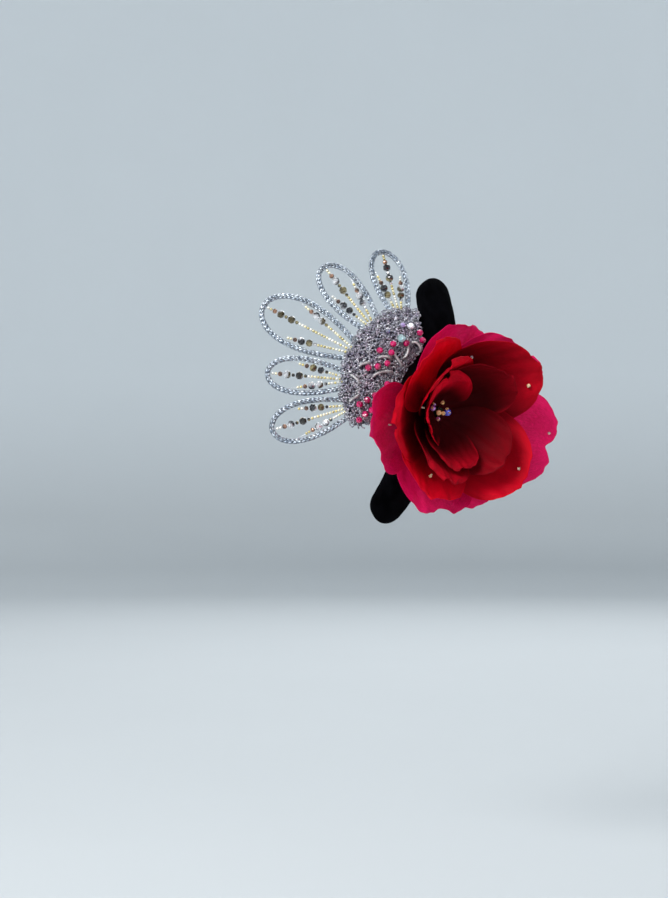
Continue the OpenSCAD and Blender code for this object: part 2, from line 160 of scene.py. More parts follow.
def sweep(path, up, thick, wide=None, sides=6, size=(1.0, 1.0)):
    """A tube along path. Each ring is path + cos(t) wide side + sin(t) thick lift, square to the path."""
    path = np.asarray(path, float)
    along = unit(np.gradient(path, axis=0))
    side = unit(np.cross(np.broadcast_to(up, path.shape), along))
    lift = np.cross(along, side)
    t = np.arange(sides) * TAU / sides
    thick = np.broadcast_to(thick, len(path))
    wide = thick if wide is None else np.broadcast_to(wide, len(path))
    rings = (path[:, None] + np.cos(t)[:, None] * (side * wide[:, None])[:, None]
             + np.sin(t)[:, None] * (lift * thick[:, None])[:, None])
    return tube(rings, size)


def repeated(shape, places, axes, sizes=1.0):
    """One shape copied to many places. axes holds each copy's x, y and z directions as rows."""
    places = np.asarray(places, float)
    sizes = np.broadcast_to(sizes, len(places))
    verts = np.einsum("ki,nij->nkj", shape["verts"], axes) * sizes[:, None, None] + places[:, None]
    jump = (np.arange(len(places)) * len(shape["verts"]))[:, None, None]
    many = {"verts": verts.reshape(-1, 3)}
    for key, corners in (("quads", 4), ("tris", 3)):
        many[key] = (shape[key][None] + jump).reshape(-1, corners)
    many["quad_uv"] = np.tile(shape["quad_uv"], (len(places), 1, 1))
    many["tri_uv"] = np.tile(shape["tri_uv"], (len(places), 1, 1))
    return many


class Heap:
    """Closed shapes gathered into one mesh, each with a colour of its own in the attribute tint, which on some
    pieces carries painted shade and light.
    """

    def __init__(self):
        self.shapes = []
        self.tints = []

    def add(self, shape, tint=(1.0, 1.0, 1.0)):
        """Adds a shape. tint is one colour, or one for each point."""
        self.shapes.append(shape)
        self.tints.append(np.broadcast_to(tint, (len(shape["verts"]), 3)))

    def piece(self, name, material, body=BODY, smooth_faces=True):
        """Makes the mesh object in metres and lets it ride on a body, unless body is None."""
        counts = np.cumsum([0] + [len(s["verts"]) for s in self.shapes])[:-1]
        quads = np.concatenate([s["quads"] + n for s, n in zip(self.shapes, counts)])
        tris = np.concatenate([s["tris"] + n for s, n in zip(self.shapes, counts)])
        uv = np.concatenate([np.concatenate([s["quad_uv"].reshape(-1, 2) for s in self.shapes]),
                             np.concatenate([s["tri_uv"].reshape(-1, 2) for s in self.shapes])])
        verts = np.concatenate([s["verts"] for s in self.shapes]) * MM
        mesh = bpy.data.meshes.new(name)
        mesh.vertices.add(len(verts))
        mesh.vertices.foreach_set("co", verts.ravel())
        corners = np.concatenate([quads.ravel(), tris.ravel()])
        totals = np.concatenate([np.full(len(quads), 4), np.full(len(tris), 3)])
        mesh.loops.add(len(corners))
        mesh.loops.foreach_set("vertex_index", corners)
        mesh.polygons.add(len(totals))
        mesh.polygons.foreach_set("loop_start", np.concatenate([[0], np.cumsum(totals)[:-1]]))
        mesh.polygons.foreach_set("loop_total", totals)
        mesh.polygons.foreach_set("use_smooth", np.full(len(totals), smooth_faces))
        mesh.uv_layers.new(name="UVMap").data.foreach_set("uv", uv.ravel())
        tint = mesh.color_attributes.new("tint", "FLOAT_COLOR", "POINT")
        rgba = np.ones((len(verts), 4))
        rgba[:, :3] = np.concatenate(self.tints)
        tint.data.foreach_set("color", rgba.ravel())
        mesh.update(calc_edges=True)
        mesh.materials.append(material)
        obj = bpy.data.objects.new(name, mesh)
        bpy.context.scene.collection.objects.link(obj)
        if body:
            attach(obj, body)
        return obj


def piece(name, shape, material, nodes=(), body=BODY, smooth_faces=True):
    """One shape, or a heap of them, as a piece, standing for the CAD nodes named, which it hides."""
    heap = shape
    if not isinstance(shape, Heap):
        heap = Heap()
        heap.add(shape)
    obj = heap.piece(name, material, body, smooth_faces)
    if nodes:
        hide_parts(*nodes)
    return obj


# ---- Materials ----


class Nodes:
    """A new material's node tree, with short calls for the nodes that the finishes share."""

    def __init__(self, name):
        self.material = bpy.data.materials.new(name)
        self.material.use_nodes = True
        self.tree = self.material.node_tree
        self.surface = self.tree.nodes["Principled BSDF"]
        self.output = self.tree.nodes["Material Output"]

    def new(self, kind, inputs=None, **settings):
        """A node with its settings and its inputs, each a number, a colour or another node's output."""
        node = self.tree.nodes.new(kind)
        for key, value in settings.items():
            setattr(node, key, value)
        for key, value in (inputs or {}).items():
            self.put(node.inputs[key], value)
        return node

    def put(self, socket, value):
        """Links an output to a socket, or sets the socket's own value."""
        if isinstance(value, bpy.types.NodeSocket):
            self.tree.links.new(value, socket)
        elif isinstance(value, tuple) and len(value) == 3 and socket.type == "RGBA":
            socket.default_value = (*value, 1)
        else:
            socket.default_value = value

    def set(self, **values):
        """Sets the shader's sockets. An underscore in a name stands for a space."""
        for key, value in values.items():
            self.put(self.surface.inputs[key.replace("_", " ")], value)

    def place(self, scale=(1, 1, 1), source="Object"):
        """Object or UV coordinates, scaled."""
        where = self.new("ShaderNodeTexCoord").outputs[source]
        return self.new("ShaderNodeMapping", {"Vector": where, "Scale": scale}).outputs[0]

    def noise(self, where, scale, detail=3.0, rough=0.55):
        """Cloudy noise from 0 to 1."""
        return self.new("ShaderNodeTexNoise", {"Vector": where, "Scale": scale, "Detail": detail,
                                               "Roughness": rough}).outputs["Fac"]

    def ramp(self, value, low, high, out_low=0.0, out_high=1.0):
        """value stretched from low..high to out_low..out_high, clamped."""
        return self.new("ShaderNodeMapRange", {0: value, 1: low, 2: high, 3: out_low, 4: out_high}).outputs[0]

    def blend(self, share, a, b, how="MIX"):
        """Two colours mixed by share."""
        node = self.new("ShaderNodeMix", {0: share}, data_type="RGBA", blend_type=how)
        self.put(node.inputs[6], a)
        self.put(node.inputs[7], b)
        return node.outputs[2]

    def tint(self):
        """The piece's own colour attribute, which on some pieces carries painted shade and light."""
        return self.new("ShaderNodeVertexColor", layer_name="tint").outputs["Color"]

    def bump(self, height, strength, distance=0.1):
        """Bump on the shader, with distance in millimetres."""
        node = self.new("ShaderNodeBump", {"Height": height, "Strength": strength, "Distance": distance * MM})
        self.put(self.surface.inputs["Normal"], node.outputs[0])
        return node.outputs[0]


def velvet():
    """Black velvet pile: nearly no colour, a grey sheen at grazing angles and a nap that lies in streaks."""
    m = Nodes("black_velvet")
    nap = m.noise(m.place((1, 1, 0.5)), 160, 5, 0.6)
    pile = m.noise(m.place(), 2600, 2)
    m.set(Base_Color=m.blend(m.ramp(nap, 0.35, 0.7), (0.0006, 0.0006, 0.0009), (0.0026, 0.0026, 0.0036)),
          Roughness=0.9, Specular_IOR_Level=0.01, Sheen_Weight=0.006, Sheen_Roughness=0.3,
          Sheen_Tint=(0.5, 0.53, 0.62))
    m.bump(pile, 0.8, 0.25)
    return m.material


def felt(name, dark, light):
    """Pressed felt: matted short fibres over a mottled colour."""
    m = Nodes(name)
    where = m.place()
    mottle = m.noise(where, 900, 4, 0.7)
    fibres = m.noise(m.place((1, 1, 3)), 3500, 2, 0.8)
    m.set(Base_Color=m.blend(m.ramp(mottle, 0.35, 0.65), dark, light), Roughness=0.95,
          Specular_IOR_Level=0.1, Sheen_Weight=0.12, Sheen_Roughness=0.5)
    m.bump(fibres, 0.7, 0.15)
    return m.material


def lurex(name, colour, shadow, rough=0.28, metal_share=0.9):
    """Metallic yarn: each strand's own tint, which carries painted shade and glints, fine foil glitter and
    random darker patches in its shadow colour.
    """
    m = Nodes(name)
    where = m.place()
    patches = m.ramp(m.noise(where, 420, 3), 0.36, 0.62)
    glitter = m.ramp(m.noise(where, 5200, 1), 0.42, 0.6)
    foil = m.blend(patches, shadow, colour)
    # The tint multiplies the foil colour; on the crochet, twists and braids it carries painted shade and glints.
    m.set(Base_Color=m.blend(1.0, m.blend(m.ramp(glitter, 0, 1, 0.25, 0), foil, (0.02, 0.02, 0.035)),
                             m.tint(), "MULTIPLY"),
          Metallic=metal_share, Roughness=m.ramp(glitter, 0, 1, rough, rough + 0.22))
    m.bump(m.noise(where, 4200, 2), 0.55, 0.12)
    return m.material


def metal(name, colour, rough, streaks=(1, 1, 1)):
    """Plated or drawn metal: faint streaks in its gloss and a few dull spots."""
    m = Nodes(name)
    streak = m.noise(m.place(streaks), 700, 4, 0.6)
    spots = m.ramp(m.noise(m.place(), 260, 3), 0.55, 0.75)
    m.set(Base_Color=m.blend(spots, colour, tuple(c * 0.78 for c in colour)), Metallic=1.0,
          Roughness=m.ramp(streak, 0.3, 0.7, rough * 0.7, rough * 1.5))
    m.bump(streak, 0.12, 0.03)
    return m.material


def coated_glass(name, rough=0.07, metal_share=0.75, clouded=0.35):
    """Glass beads with a half-mirror coat: the colour of each facet comes from the piece's tint."""
    m = Nodes(name)
    cloud = m.noise(m.place(), 900, 2)
    m.set(Base_Color=m.blend(m.ramp(cloud, 0.4, 0.7, 0, clouded), m.tint(), (0.9, 0.9, 0.92)),
          Metallic=metal_share, Roughness=m.ramp(cloud, 0.3, 0.7, rough, rough * 2.4),
          Coat_Weight=1.0, Coat_Roughness=0.03)
    return m.material


def clear_glass(name, rough=0.04):
    """Glossy coloured glass that lets some light through, its colour from the tint and cloudy inside."""
    m = Nodes(name)
    cloud = m.noise(m.place(), 1300, 2)
    m.set(Base_Color=m.blend(1.0, m.tint(), m.blend(m.ramp(cloud, 0.35, 0.65), (0.62, 0.62, 0.66), (1, 1, 1)),
                             "MULTIPLY"),
          Roughness=m.ramp(cloud, 0.3, 0.7, rough, rough * 2), IOR=1.56, Transmission_Weight=0.35,
          Coat_Weight=1.0, Coat_Roughness=0.02)
    return m.material


def petal_cloth(name, deep, bright, glow, see_through=0.0, streak_share=0.25):
    """Petal cloth, in the petal's own UV in millimetres: fine threads along it, mottled dye darkened by its
    tint, which is painted shade, light that comes through from behind and, on a sheer one, gaps between its
    fibres."""
    m = Nodes(name)
    threads = m.noise(m.place((0.12, 2.2, 1), "UV"), 1.0, 4, 0.65)
    crinkle = m.noise(m.place((0.55, 1.05, 1), "UV"), 1.0, 5, 0.7)
    dye_and_painted_shade = m.noise(m.place((0.05, 0.09, 1), "UV"), 1.0, 3)
    base = m.blend(m.ramp(dye_and_painted_shade, 0.32, 0.68), deep, bright)
    base = m.blend(m.ramp(crinkle, 0.4, 0.66, 0, streak_share), base, tuple(min(1, c * 1.7) for c in bright))
    base = m.blend(m.ramp(threads, 0.42, 0.7, 0, streak_share), base, deep)
    # The tint multiplies the dyed colour with painted shade.
    m.set(Base_Color=m.blend(1.0, base, m.tint(), "MULTIPLY"), Roughness=0.65, Specular_IOR_Level=0.1,
          Sheen_Weight=0.06, Sheen_Roughness=0.4, Sheen_Tint=bright)
    normal = m.bump(m.blend(0.5, threads, crinkle), 0.6, 0.3)
    # The light through the cloth is darkened by the same painted shade in the tint.
    through = m.new("ShaderNodeBsdfTranslucent", {"Color": m.blend(1.0, m.tint(), glow, "MULTIPLY"),
                                                  "Normal": normal})
    cloth = m.new("ShaderNodeMixShader", {0: 0.3, 1: m.surface.outputs[0], 2: through.outputs[0]})
    shown = cloth.outputs[0]
    if see_through:
        gaps = m.ramp(m.blend(0.5, crinkle, threads), 0.38, 0.66, see_through * 1.5, see_through * 0.25)
        clear = m.new("ShaderNodeBsdfTransparent", {"Color": (1.0, 0.62, 0.78)})
        shown = m.new("ShaderNodeMixShader", {0: gaps, 1: shown, 2: clear.outputs[0]}).outputs[0]
    m.put(m.output.inputs[0], shown)
    return m.material


def plain(name, dark, light, scale=500, rough=0.8):
    """A dull mottled finish for hidden layers."""
    m = Nodes(name)
    mottle = m.noise(m.place(), scale, 4)
    m.set(Base_Color=m.blend(mottle, dark, light), Roughness=rough, Specular_IOR_Level=0.2)
    m.bump(mottle, 0.3, 0.1)
    return m.material


def studio_paper():
    """Matt pale paper for the stage, darkened by its tint where it lies flat."""
    m = Nodes("studio_paper")
    mottle = m.noise(m.place(), 3, 4)
    pale = m.blend(mottle, (0.70, 0.745, 0.775), (0.73, 0.775, 0.805))
    m.set(Base_Color=m.blend(1.0, pale, m.tint(), "MULTIPLY"), Roughness=0.9, Specular_IOR_Level=0.2)
    m.bump(mottle, 0.3, 0.1)
    return m.material


VELVET = velvet()
FELT = felt("black_felt", (0.006, 0.006, 0.008), (0.022, 0.022, 0.026))
SILVER = lurex("silver_lurex", (0.97, 0.97, 1.0), (0.42, 0.43, 0.52), 0.2)
BRAID = lurex("silver_braid", (0.87, 0.94, 1.0), (0.36, 0.43, 0.52), 0.22)
PALE_CORD = lurex("pale_twist", (0.9, 0.9, 0.9), (0.62, 0.6, 0.62), 0.4, 0.45)
NET = plain("dark_net", (0.012, 0.012, 0.022), (0.07, 0.065, 0.085), 700)
SEED_GLASS = coated_glass("gold_lined_glass", 0.16, 0.35, 0.1)
FACET_GLASS = coated_glass("hematite_glass", 0.08, 0.7, 0.04)
MAGENTA_GLASS = clear_glass("magenta_glass")
CRYSTAL_GLASS = coated_glass("rainbow_crystal", 0.04, 0.35)
BEAD_WIRE = metal("bead_wire", (0.78, 0.78, 0.8), 0.25)
GOLD_WIRE = metal("gold_wire", (0.83, 0.6, 0.28), 0.25)
PLATED = metal("plated_steel", (0.82, 0.83, 0.85), 0.2, (1, 1, 6))
SPRING_STEEL = metal("spring_steel", (0.5, 0.51, 0.54), 0.3)
SILK = petal_cloth("red_silk", (0.48, 0.0006, 0.013), (0.82, 0.0008, 0.02), (1.0, 0.001, 0.024))
SHEER = petal_cloth("sheer_organza", (0.5, 0.002, 0.06), (0.9, 0.01, 0.15), (1.0, 0.016, 0.2), 0.12, 0.7)
STEM_TAPE = plain("stem_tape", (0.006, 0.014, 0.006), (0.02, 0.035, 0.015), 1500)
WADDING = plain("wadding", (0.6, 0.58, 0.52), (0.85, 0.83, 0.78), 1200)
BOARD = plain("board", (0.34, 0.28, 0.18), (0.52, 0.44, 0.3), 900)
THREAD = plain("black_thread", (0.008, 0.008, 0.01), (0.03, 0.03, 0.035), 4000)


# ---- The head form, the band and its back: the part's own driving sizes ----

FORM_R = 110.0
FORM_XZ = (-58.0, 5.0)
FORM_C = np.array([FORM_XZ[0], np.sqrt(FORM_R**2 - FORM_XZ[0]**2 - FORM_XZ[1]**2), FORM_XZ[1]])


def form_normal(x, z):
    """Outward direction of the head form below the front view's x, z."""
    dx, dz = np.broadcast_arrays(np.asarray(x, float) - FORM_C[0], np.asarray(z, float) - FORM_C[2])
    return np.stack([dx, -np.sqrt(FORM_R**2 - dx**2 - dz**2), dz], -1) / FORM_R


def on_form(x, z, h):
    """The point at height h over the head form, straight behind x, z at height 0."""
    return FORM_C + (FORM_R + np.asarray(h, float))[..., None] * form_normal(x, z)


BAND_W, BAND_END_W, BAND_H = 25.0, 18.0, 6.0
BAND_ARC_R, BAND_ARC_XZ, BAND_MID, BAND_SWEEP = 167.0, (-159.7, 33.9), -12.5, 51.0
BAND_L = BAND_ARC_R * np.radians(BAND_SWEEP)
LINING_INSET = 1.8


def band_half(s, inset):
    """Half width of the band's outline drawn in by inset: swelling in the middle, round at the ends."""
    w = mix(BAND_END_W, BAND_W, np.sin(np.pi * s / BAND_L)) / 2 - inset
    e = np.clip((np.minimum(s, BAND_L - s) - inset) / w, 0, 1)
    return np.maximum(0.02, w * np.sqrt(1 - (1 - e)**2))


def band_crown(s, y, top):
    """Height of the padded top at y off the centreline: a flat dome, lower where the band is narrower."""
    w = band_half(s, 0)
    dome = np.sqrt(np.clip(1 - np.minimum(1, np.abs(y) / w)**3.5, 0, 1))
    return top * np.minimum(1, w / (BAND_W / 2))**0.4 * dome


def band_point(s, y, h):
    """Point s along the band, y across it and h over the head form."""
    a = np.radians(BAND_MID + (0.5 - s / BAND_L) * BAND_SWEEP)
    r = BAND_ARC_R + y
    return on_form(BAND_ARC_XZ[0] + r * np.cos(a), BAND_ARC_XZ[1] + r * np.sin(a), h)


def band_stations(inset, count):
    """Places along the band, closer together near its ends."""
    return inset + (BAND_L - 2 * inset) * (1 - np.cos(np.linspace(0, np.pi, count))) / 2


def velvet_shape():
    """The cover's closed skin: rings round the band, the crown on top and flat behind, softly puckered where
    the velvet is drawn over the edge."""
    rng = np.random.default_rng(3)
    s = band_stations(0, 200)[1:-1, None]
    t = turn_round(96)[None]
    half = band_half(s, 0)
    pucker = 1 + 0.006 * waves(s[:, 0] / 9, rng, 6, 0.6, 2)[:, None]
    y = half * np.cos(t) * pucker
    top = band_crown(s, half * np.cos(t), BAND_H)
    sag = 0.05 * waves(s[:, 0] / 30, rng)[:, None] * np.sin(t) ** 2
    h = np.where(np.sin(t) > 0, top * (1 + 0.5 * sag), 0.05)
    return tube(band_point(s + 0 * t, y, h), (BAND_L, 60))


def lining_shape():
    """The felt back: a level sheet with a rounded edge, set in from the band's outline."""
    s = band_stations(LINING_INSET, 120)[1:-1, None]
    t = turn_round(32)[None]
    y = band_half(s, LINING_INSET) * np.cos(t)
    h = 0.12 - 0.32 * np.sign(np.sin(t)) * np.abs(np.sin(t)) ** 0.3
    return tube(band_point(s + 0 * t, y, h), (BAND_L, 20))


def stitches_shape():
    """Whip stitches over the lining's edge: short bowed threads, square to the outline, 3 mm apart."""
    heap = Heap()
    arc = np.linspace(-1, 1, 7)
    for s in np.arange(3.5, BAND_L - 3, 2.8):
        for side in (-1, 1):
            half = band_half(np.array(s), LINING_INSET)
            y = side * (half + 0.75 * arc)
            path = band_point(s + 0.5 * arc, y, -0.32 - 0.22 * (1 - arc**2) + 0.2 * (arc > 0.9))
            heap.add(sweep(path, form_normal(path[:, 0], path[:, 2]), 0.16, sides=5))
    return heap


# ---- The fan ----

FAN_XZ = (-3.2, 7.5)
CORD_R = 1.75
SEED_D, FACET_D, BEAD_GAP = 1.7, 4.7, 0.08
CROCHET_R, CROCHET_H, CROCHET_FROM, CROCHET_TO = 46.0, 6.5, 95.0, 213.0
LOOPS = [(107, 79, 22), (130, 86, 23), (153.4, 98.5, 29), (175.3, 86, 20.5), (196, 86.5, 22)]
LOOP_ROOT_R = 39.0
LOOP_LIFT = (2.2, 6.5)


def fan_point(a, r, h):
    """Point at angle a in degrees and reach r about the fan's middle, h over the head form."""
    a = np.radians(a)
    return on_form(FAN_XZ[0] + r * np.cos(a), FAN_XZ[1] + r * np.sin(a), h)


def crochet_inner(a):
    """Reach of the crochet's inner edge."""
    return 13.5 + 8 * ((a - 150) / 60) ** 2


def crochet_outer(a):
    """Reach of its outer edge, drawn in at both ends and softly scalloped."""
    ends = (5 * np.clip((CROCHET_FROM + 14 - a) / 14, 0, 1) ** 2
            + 8 * np.clip((a - CROCHET_TO + 10) / 10, 0, 1) ** 2)
    return CROCHET_R - ends + 0.9 * np.sin(np.radians(a * 16))


def crochet_top(a, r):
    """Height of the crochet's top: a low dome from its inner edge to its rim."""
    inner = crochet_inner(a)
    return CROCHET_H + 1.6 * np.sin(np.pi * np.clip((r - inner) / (crochet_outer(a) - inner), 0, 1))


def net_shape():
    """The dark net that the crochet is worked over: a slab under the stitches, thinner towards its rim."""
    a = np.linspace(CROCHET_FROM + 0.6, CROCHET_TO - 0.6, 90)[:, None]
    k = np.linspace(0.02, 0.97, 30)[None]
    r = mix(crochet_inner(a), crochet_outer(a), k)
    top = crochet_top(a, r) - 1.5 - 1.2 * smooth((k - 0.85) / 0.15)
    under = np.where(r > LOOP_ROOT_R - 3.5, LOOP_LIFT[0] + CORD_R + 0.3, 0.4)
    return shell(fan_point(a + 0 * k, r, top), fan_point(a + 0 * k, r, under), (120, 30))


def twisted(heap, path, up, yarn_r, pitch, tint, plies=2, sides=5):
    """Yarn of a few plies, each a helix about the path: offset yarn_r / 2 and turning once in a pitch."""
    step = np.linalg.norm(np.diff(path, axis=0), axis=1)
    run = np.concatenate([[0], np.cumsum(step)])
    along = unit(np.gradient(path, axis=0))
    side = unit(np.cross(up, along))
    lift = np.cross(along, side)
    for ply in range(plies):
        t = TAU * (run / pitch + ply / plies)
        out = np.cos(t)[:, None] * side + np.sin(t)[:, None] * lift
        rings = sweep(path + out * yarn_r * 0.5, out, yarn_r * 0.42, yarn_r * 0.58, sides)
        shade = np.repeat(np.broadcast_to(tint, (len(path), 3)), sides, 0)
        heap.add(rings, np.concatenate([shade, shade[[0, -1]]]))


def resample(path, step):
    """The path with its points step apart along it."""
    run = np.concatenate([[0], np.cumsum(np.linalg.norm(np.diff(path, axis=0), axis=1))])
    at = np.linspace(0, run[-1], max(5, int(run[-1] / step)))
    return np.stack([np.interp(at, run, path[:, k]) for k in range(path.shape[1])], 1)


def crochet_row(k, rng, loose):
    """One row of stitches, as angle, reach and height: loops that advance 3 mm each along an arc across the
    fan, wandering a little, with every loop rising over the last."""
    mid = mix(crochet_inner(150.0), CROCHET_R, k)
    turns = np.radians(CROCHET_TO - CROCHET_FROM) * mid / 3.0
    t = np.linspace(0, 1, int(turns * 26))
    a = mix(CROCHET_FROM + 1, CROCHET_TO - 1, t)
    inner, outer = crochet_inner(a), crochet_outer(a)
    wander = waves(t * 6, rng, 5)
    beat = TAU * t * turns + 1.2 * waves(t * 5, rng)
    r = mix(inner, outer, k) + loose * (1.55 * np.sin(beat) + 0.9 * wander)
    r = np.clip(r, inner - 0.2, outer + 0.9)
    a = a + np.degrees(loose * (1.7 * np.cos(beat) + 0.6 * np.sin(2.3 * beat)) / r)
    h = crochet_top(a, r) - 0.9 + 0.75 * np.sin(beat * 0.5 + 1) + 0.6 * waves(t * 17, rng)
    rim = smooth((r - outer + 2) / 3)
    return np.stack([a, r, h - 1.6 * rim], 1)


def crochet_shape(rows, seed, loose=1.0, yarn_r=0.55, dark=0.25):
    """Rows of lurex stitches over the fan, each row in a slightly different silver, with painted glints and
    painted shade in flecks along the yarn.
    """
    rng = np.random.default_rng(seed)
    heap = Heap()
    for k in rows:
        at = crochet_row(k, rng, loose)
        path = resample(fan_point(at[:, 0], at[:, 1], at[:, 2]), 0.42)
        shade = rng.uniform(1 - dark, 1.0)
        cool = np.array([1.0, 1.0, 1.03]) if rng.random() < 0.7 else np.array([0.92, 0.84, 0.92])
        # Painted glints and shade: the tint swings from dark to bright in flecks along the yarn.
        painted_glints_and_shade = smooth(0.5 + 0.75 * waves(np.arange(len(path)) * 0.42 / 6, rng, 9, 2.0, 7.0))
        tints = (0.2 + 1.1 * painted_glints_and_shade)[:, None] * shade * cool
        twisted(heap, path, form_normal(path[:, 0], path[:, 2]), yarn_r, 1.9, tints, sides=4)
    return heap


# Each pale twist: angle and reach at both ends, and how far it bows sideways
TWISTS = [(136, 25.5, 140, 17, 1.5), (115, 24, 128, 19.5, -1.2), (171, 30, 158, 19.5, 1.8),
          (164, 38, 158.5, 33, 1.0), (197, 30, 184, 18.5, -1.5), (191, 42, 188, 37, 0.8),
          (109, 25, 97, 19.5, 1.2), (172, 41, 178, 36.5, -0.8), (150, 30, 143, 24, 1.2), (204, 31, 198, 25, 1.0)]


TWIST_R, TWIST_PITCH, TWIST_STEP = 0.95, 2.1, 0.3


def twists_shape():
    """Pale twisted cord that lies over the stitches in short bowed lengths, its ends tucked in and painted shade
    darkening the grooves between its plies, two to a pitch."""
    heap = Heap()
    t = np.linspace(0, 1, 60)
    for a0, r0, a1, r1, bow in TWISTS:
        a, r = mix(a0, a1, t), mix(r0, r1, t) + bow * np.sin(np.pi * t)
        h = crochet_top(a, r) + 1.0 - 2.2 * (2 * t - 1) ** 6
        path = resample(fan_point(a, r, h), TWIST_STEP)
        # Painted shade: the tint darkens in bands where the grooves between the plies fall, two to a pitch.
        painted_groove_shade = mix(0.22, 1, np.abs(np.sin(TAU * TWIST_STEP * np.arange(len(path)) / TWIST_PITCH)))
        twisted(heap, path, form_normal(path[:, 0], path[:, 2]), TWIST_R, TWIST_PITCH,
                painted_groove_shade[:, None] * np.ones(3), sides=6)
    return heap


def glints_shape(count=1500):
    """Loose ends of foil: thin tapered slivers that stand up out of the stitches at random."""
    rng = np.random.default_rng(21)
    a = rng.uniform(CROCHET_FROM + 1, CROCHET_TO - 1, count)
    r = mix(crochet_inner(a), crochet_outer(a) + 0.4, rng.uniform(0, 1, count) ** 0.8)
    start = fan_point(a, r, crochet_top(a, r) - 0.3)
    up = form_normal(start[:, 0], start[:, 2])
    lean = unit(up * rng.uniform(0.1, 0.9, (count, 1)) + rng.normal(0, 0.6, (count, 3)))
    side = unit(np.cross(lean, rng.normal(0, 1, (count, 3))))
    axes = np.stack([side, np.cross(lean, side), lean], 1)
    t = turn_round(3)
    z = np.linspace(0, 1.7, 5)
    taper = np.array([0.13, 0.14, 0.12, 0.09, 0.03])
    bend = 0.25 * (z / 1.7) ** 2
    rings = np.stack([np.cos(t) * taper[:, None] + bend[:, None], np.sin(t) * taper[:, None] * 0.5,
                      z[:, None] + 0 * t], -1)
    heap = Heap()
    heap.add(repeated(tube(rings), start, axes, rng.uniform(0.5, 1.2, count)))
    return heap


def loop_frame(i):
    """Origin and x, y, z directions of loop i: x from its root to its tip, z away from the head."""
    angle, reach, _ = LOOPS[i]
    root = fan_point(angle, LOOP_ROOT_R, LOOP_LIFT[0])
    tip = fan_point(angle, reach, LOOP_LIFT[1])
    x = unit(tip - root)
    y = unit(np.cross(form_normal(root[0], root[2]), x))
    return root, np.stack([x, y, np.cross(x, y)]), np.linalg.norm(tip - root)


def loop_path(i, f):
    """The teardrop that a cord's centreline follows, f from 0 at one root to TAU at the other:
    x = L (1 - cos f) / 2 and y = K sin f sin(f/2), opened a little at the roots."""
    _, _, length = loop_frame(i)
    k = (LOOPS[i][2] / 2 - CORD_R) / 0.77
    y = k * np.sin(f) * np.sin(f / 2) + (CORD_R + 0.6) * np.cos(f / 2)
    return np.stack([length * (1 - np.cos(f)) / 2, y, 0 * f], -1)


BRAID_R, BRAID_COLUMNS, BRAID_PITCH, STITCH_SIDES = 1.3, 8, 2.5, 8
# Share of its brightness that a stitch keeps at its tucked ends, where its tint is darkened as painted shade
TUCKED_SHADE = 0.12


def braid_shape(i):
    """A plaited cord over a near-black core, which is painted shade for the gaps between the stitches. Its
    stitches lie in columns round the cord, slanting one way and the other in turn: along a stitch, q from -1 to
    1, the place is pitch (k + 0.72 q), the angle turns by 24 q degrees and the radius drops by 0.3 q^2, so that
    each end tucks under the next stitch, where its tint is darkened as painted shade."""
    origin, axes, _ = loop_frame(i)
    path = resample(loop_path(i, np.linspace(0, TAU, 400)), 0.25)
    run = np.concatenate([[0], np.cumsum(np.linalg.norm(np.diff(path, axis=0), axis=1))])
    along = unit(np.gradient(path, axis=0))
    heap = Heap()
    # The core's near-black tint is painted shade, seen in the gaps between the stitches.
    heap.add(sweep(path[::3] @ axes + origin, axes[2], BRAID_R * 0.82, sides=8), (0.03, 0.035, 0.05))
    rng = np.random.default_rng(40 + i)
    steps = int((run[-1] - 4) / BRAID_PITCH)
    k, column = (g.ravel() for g in np.meshgrid(np.arange(steps), np.arange(BRAID_COLUMNS), indexing="ij"))
    way = 1 - 2 * (column % 2)
    q = np.linspace(-1, 1, 7)
    at = 2 + BRAID_PITCH * (k + 0.5 + 0.25 * (column // 2 % 2) + rng.normal(0, 0.03, k.shape))
    s = at[:, None] + BRAID_PITCH * 0.72 * q
    angle = TAU * (column + 0.5)[:, None] / BRAID_COLUMNS + way[:, None] * np.radians(24) * q
    r = BRAID_R - 0.3 * q**2 + rng.normal(0, 0.03, k.shape)[:, None]
    centre, tangent = (np.stack([np.interp(s, run, m[:, c]) for c in range(3)], -1) for m in (path, along))
    side = np.cross([0.0, 0.0, 1.0], tangent)
    out = np.cos(angle)[..., None] * side + np.sin(angle)[..., None] * np.array([0.0, 0.0, 1.0])
    middle = centre + out * r[..., None]
    run_way = unit(np.gradient(middle, axis=1))
    across = np.cross(run_way, out)
    fat = np.sqrt(1 - 0.8 * q**2)[None, :, None, None]
    t = TAU * np.arange(STITCH_SIDES) / STITCH_SIDES
    rings = (middle[:, :, None] + fat * (0.47 * np.cos(t)[:, None] * across[:, :, None]
                                         + 0.42 * np.sin(t)[:, None] * out[:, :, None]))
    many = tubes(rings)
    # Painted shade: each stitch's tint darkens towards its tucked ends.
    ends = np.append(np.repeat(mix(TUCKED_SHADE, 1, 1 - q**2), STITCH_SIDES), [TUCKED_SHADE, TUCKED_SHADE])
    shade = (rng.uniform(0.6, 1.0, len(k))[:, None] * ends).ravel()
    many["verts"] = many["verts"] @ axes + origin
    heap.add(many, shade[:, None] * np.array([1, 1, 1.02]))
    return heap


def strand_ends(i, j):
    """Where strand j of loop i, -1, 0 or 1, leaves the crochet, and where it meets the cord."""
    length = loop_frame(i)[2]
    gap = CORD_R + 0.3
    if j == 0:
        end = np.array([length - gap, 0, 0])
    else:
        end = loop_path(i, np.radians(np.array(116.0 if j > 0 else 244.0))) - np.array([0, j * gap, 0])
    return np.array([1, j * 0.4, 0]), end


def facet_run(j):
    """Diameters of a strand's larger beads, from the cord back to the root."""
    return [3, FACET_D, 2.2, FACET_D, 2.2] if j == 0 else [2.8, FACET_D, FACET_D - 0.3, 2.2]


TIP_SEEDS, BARE_ROOT = 2, 3.4


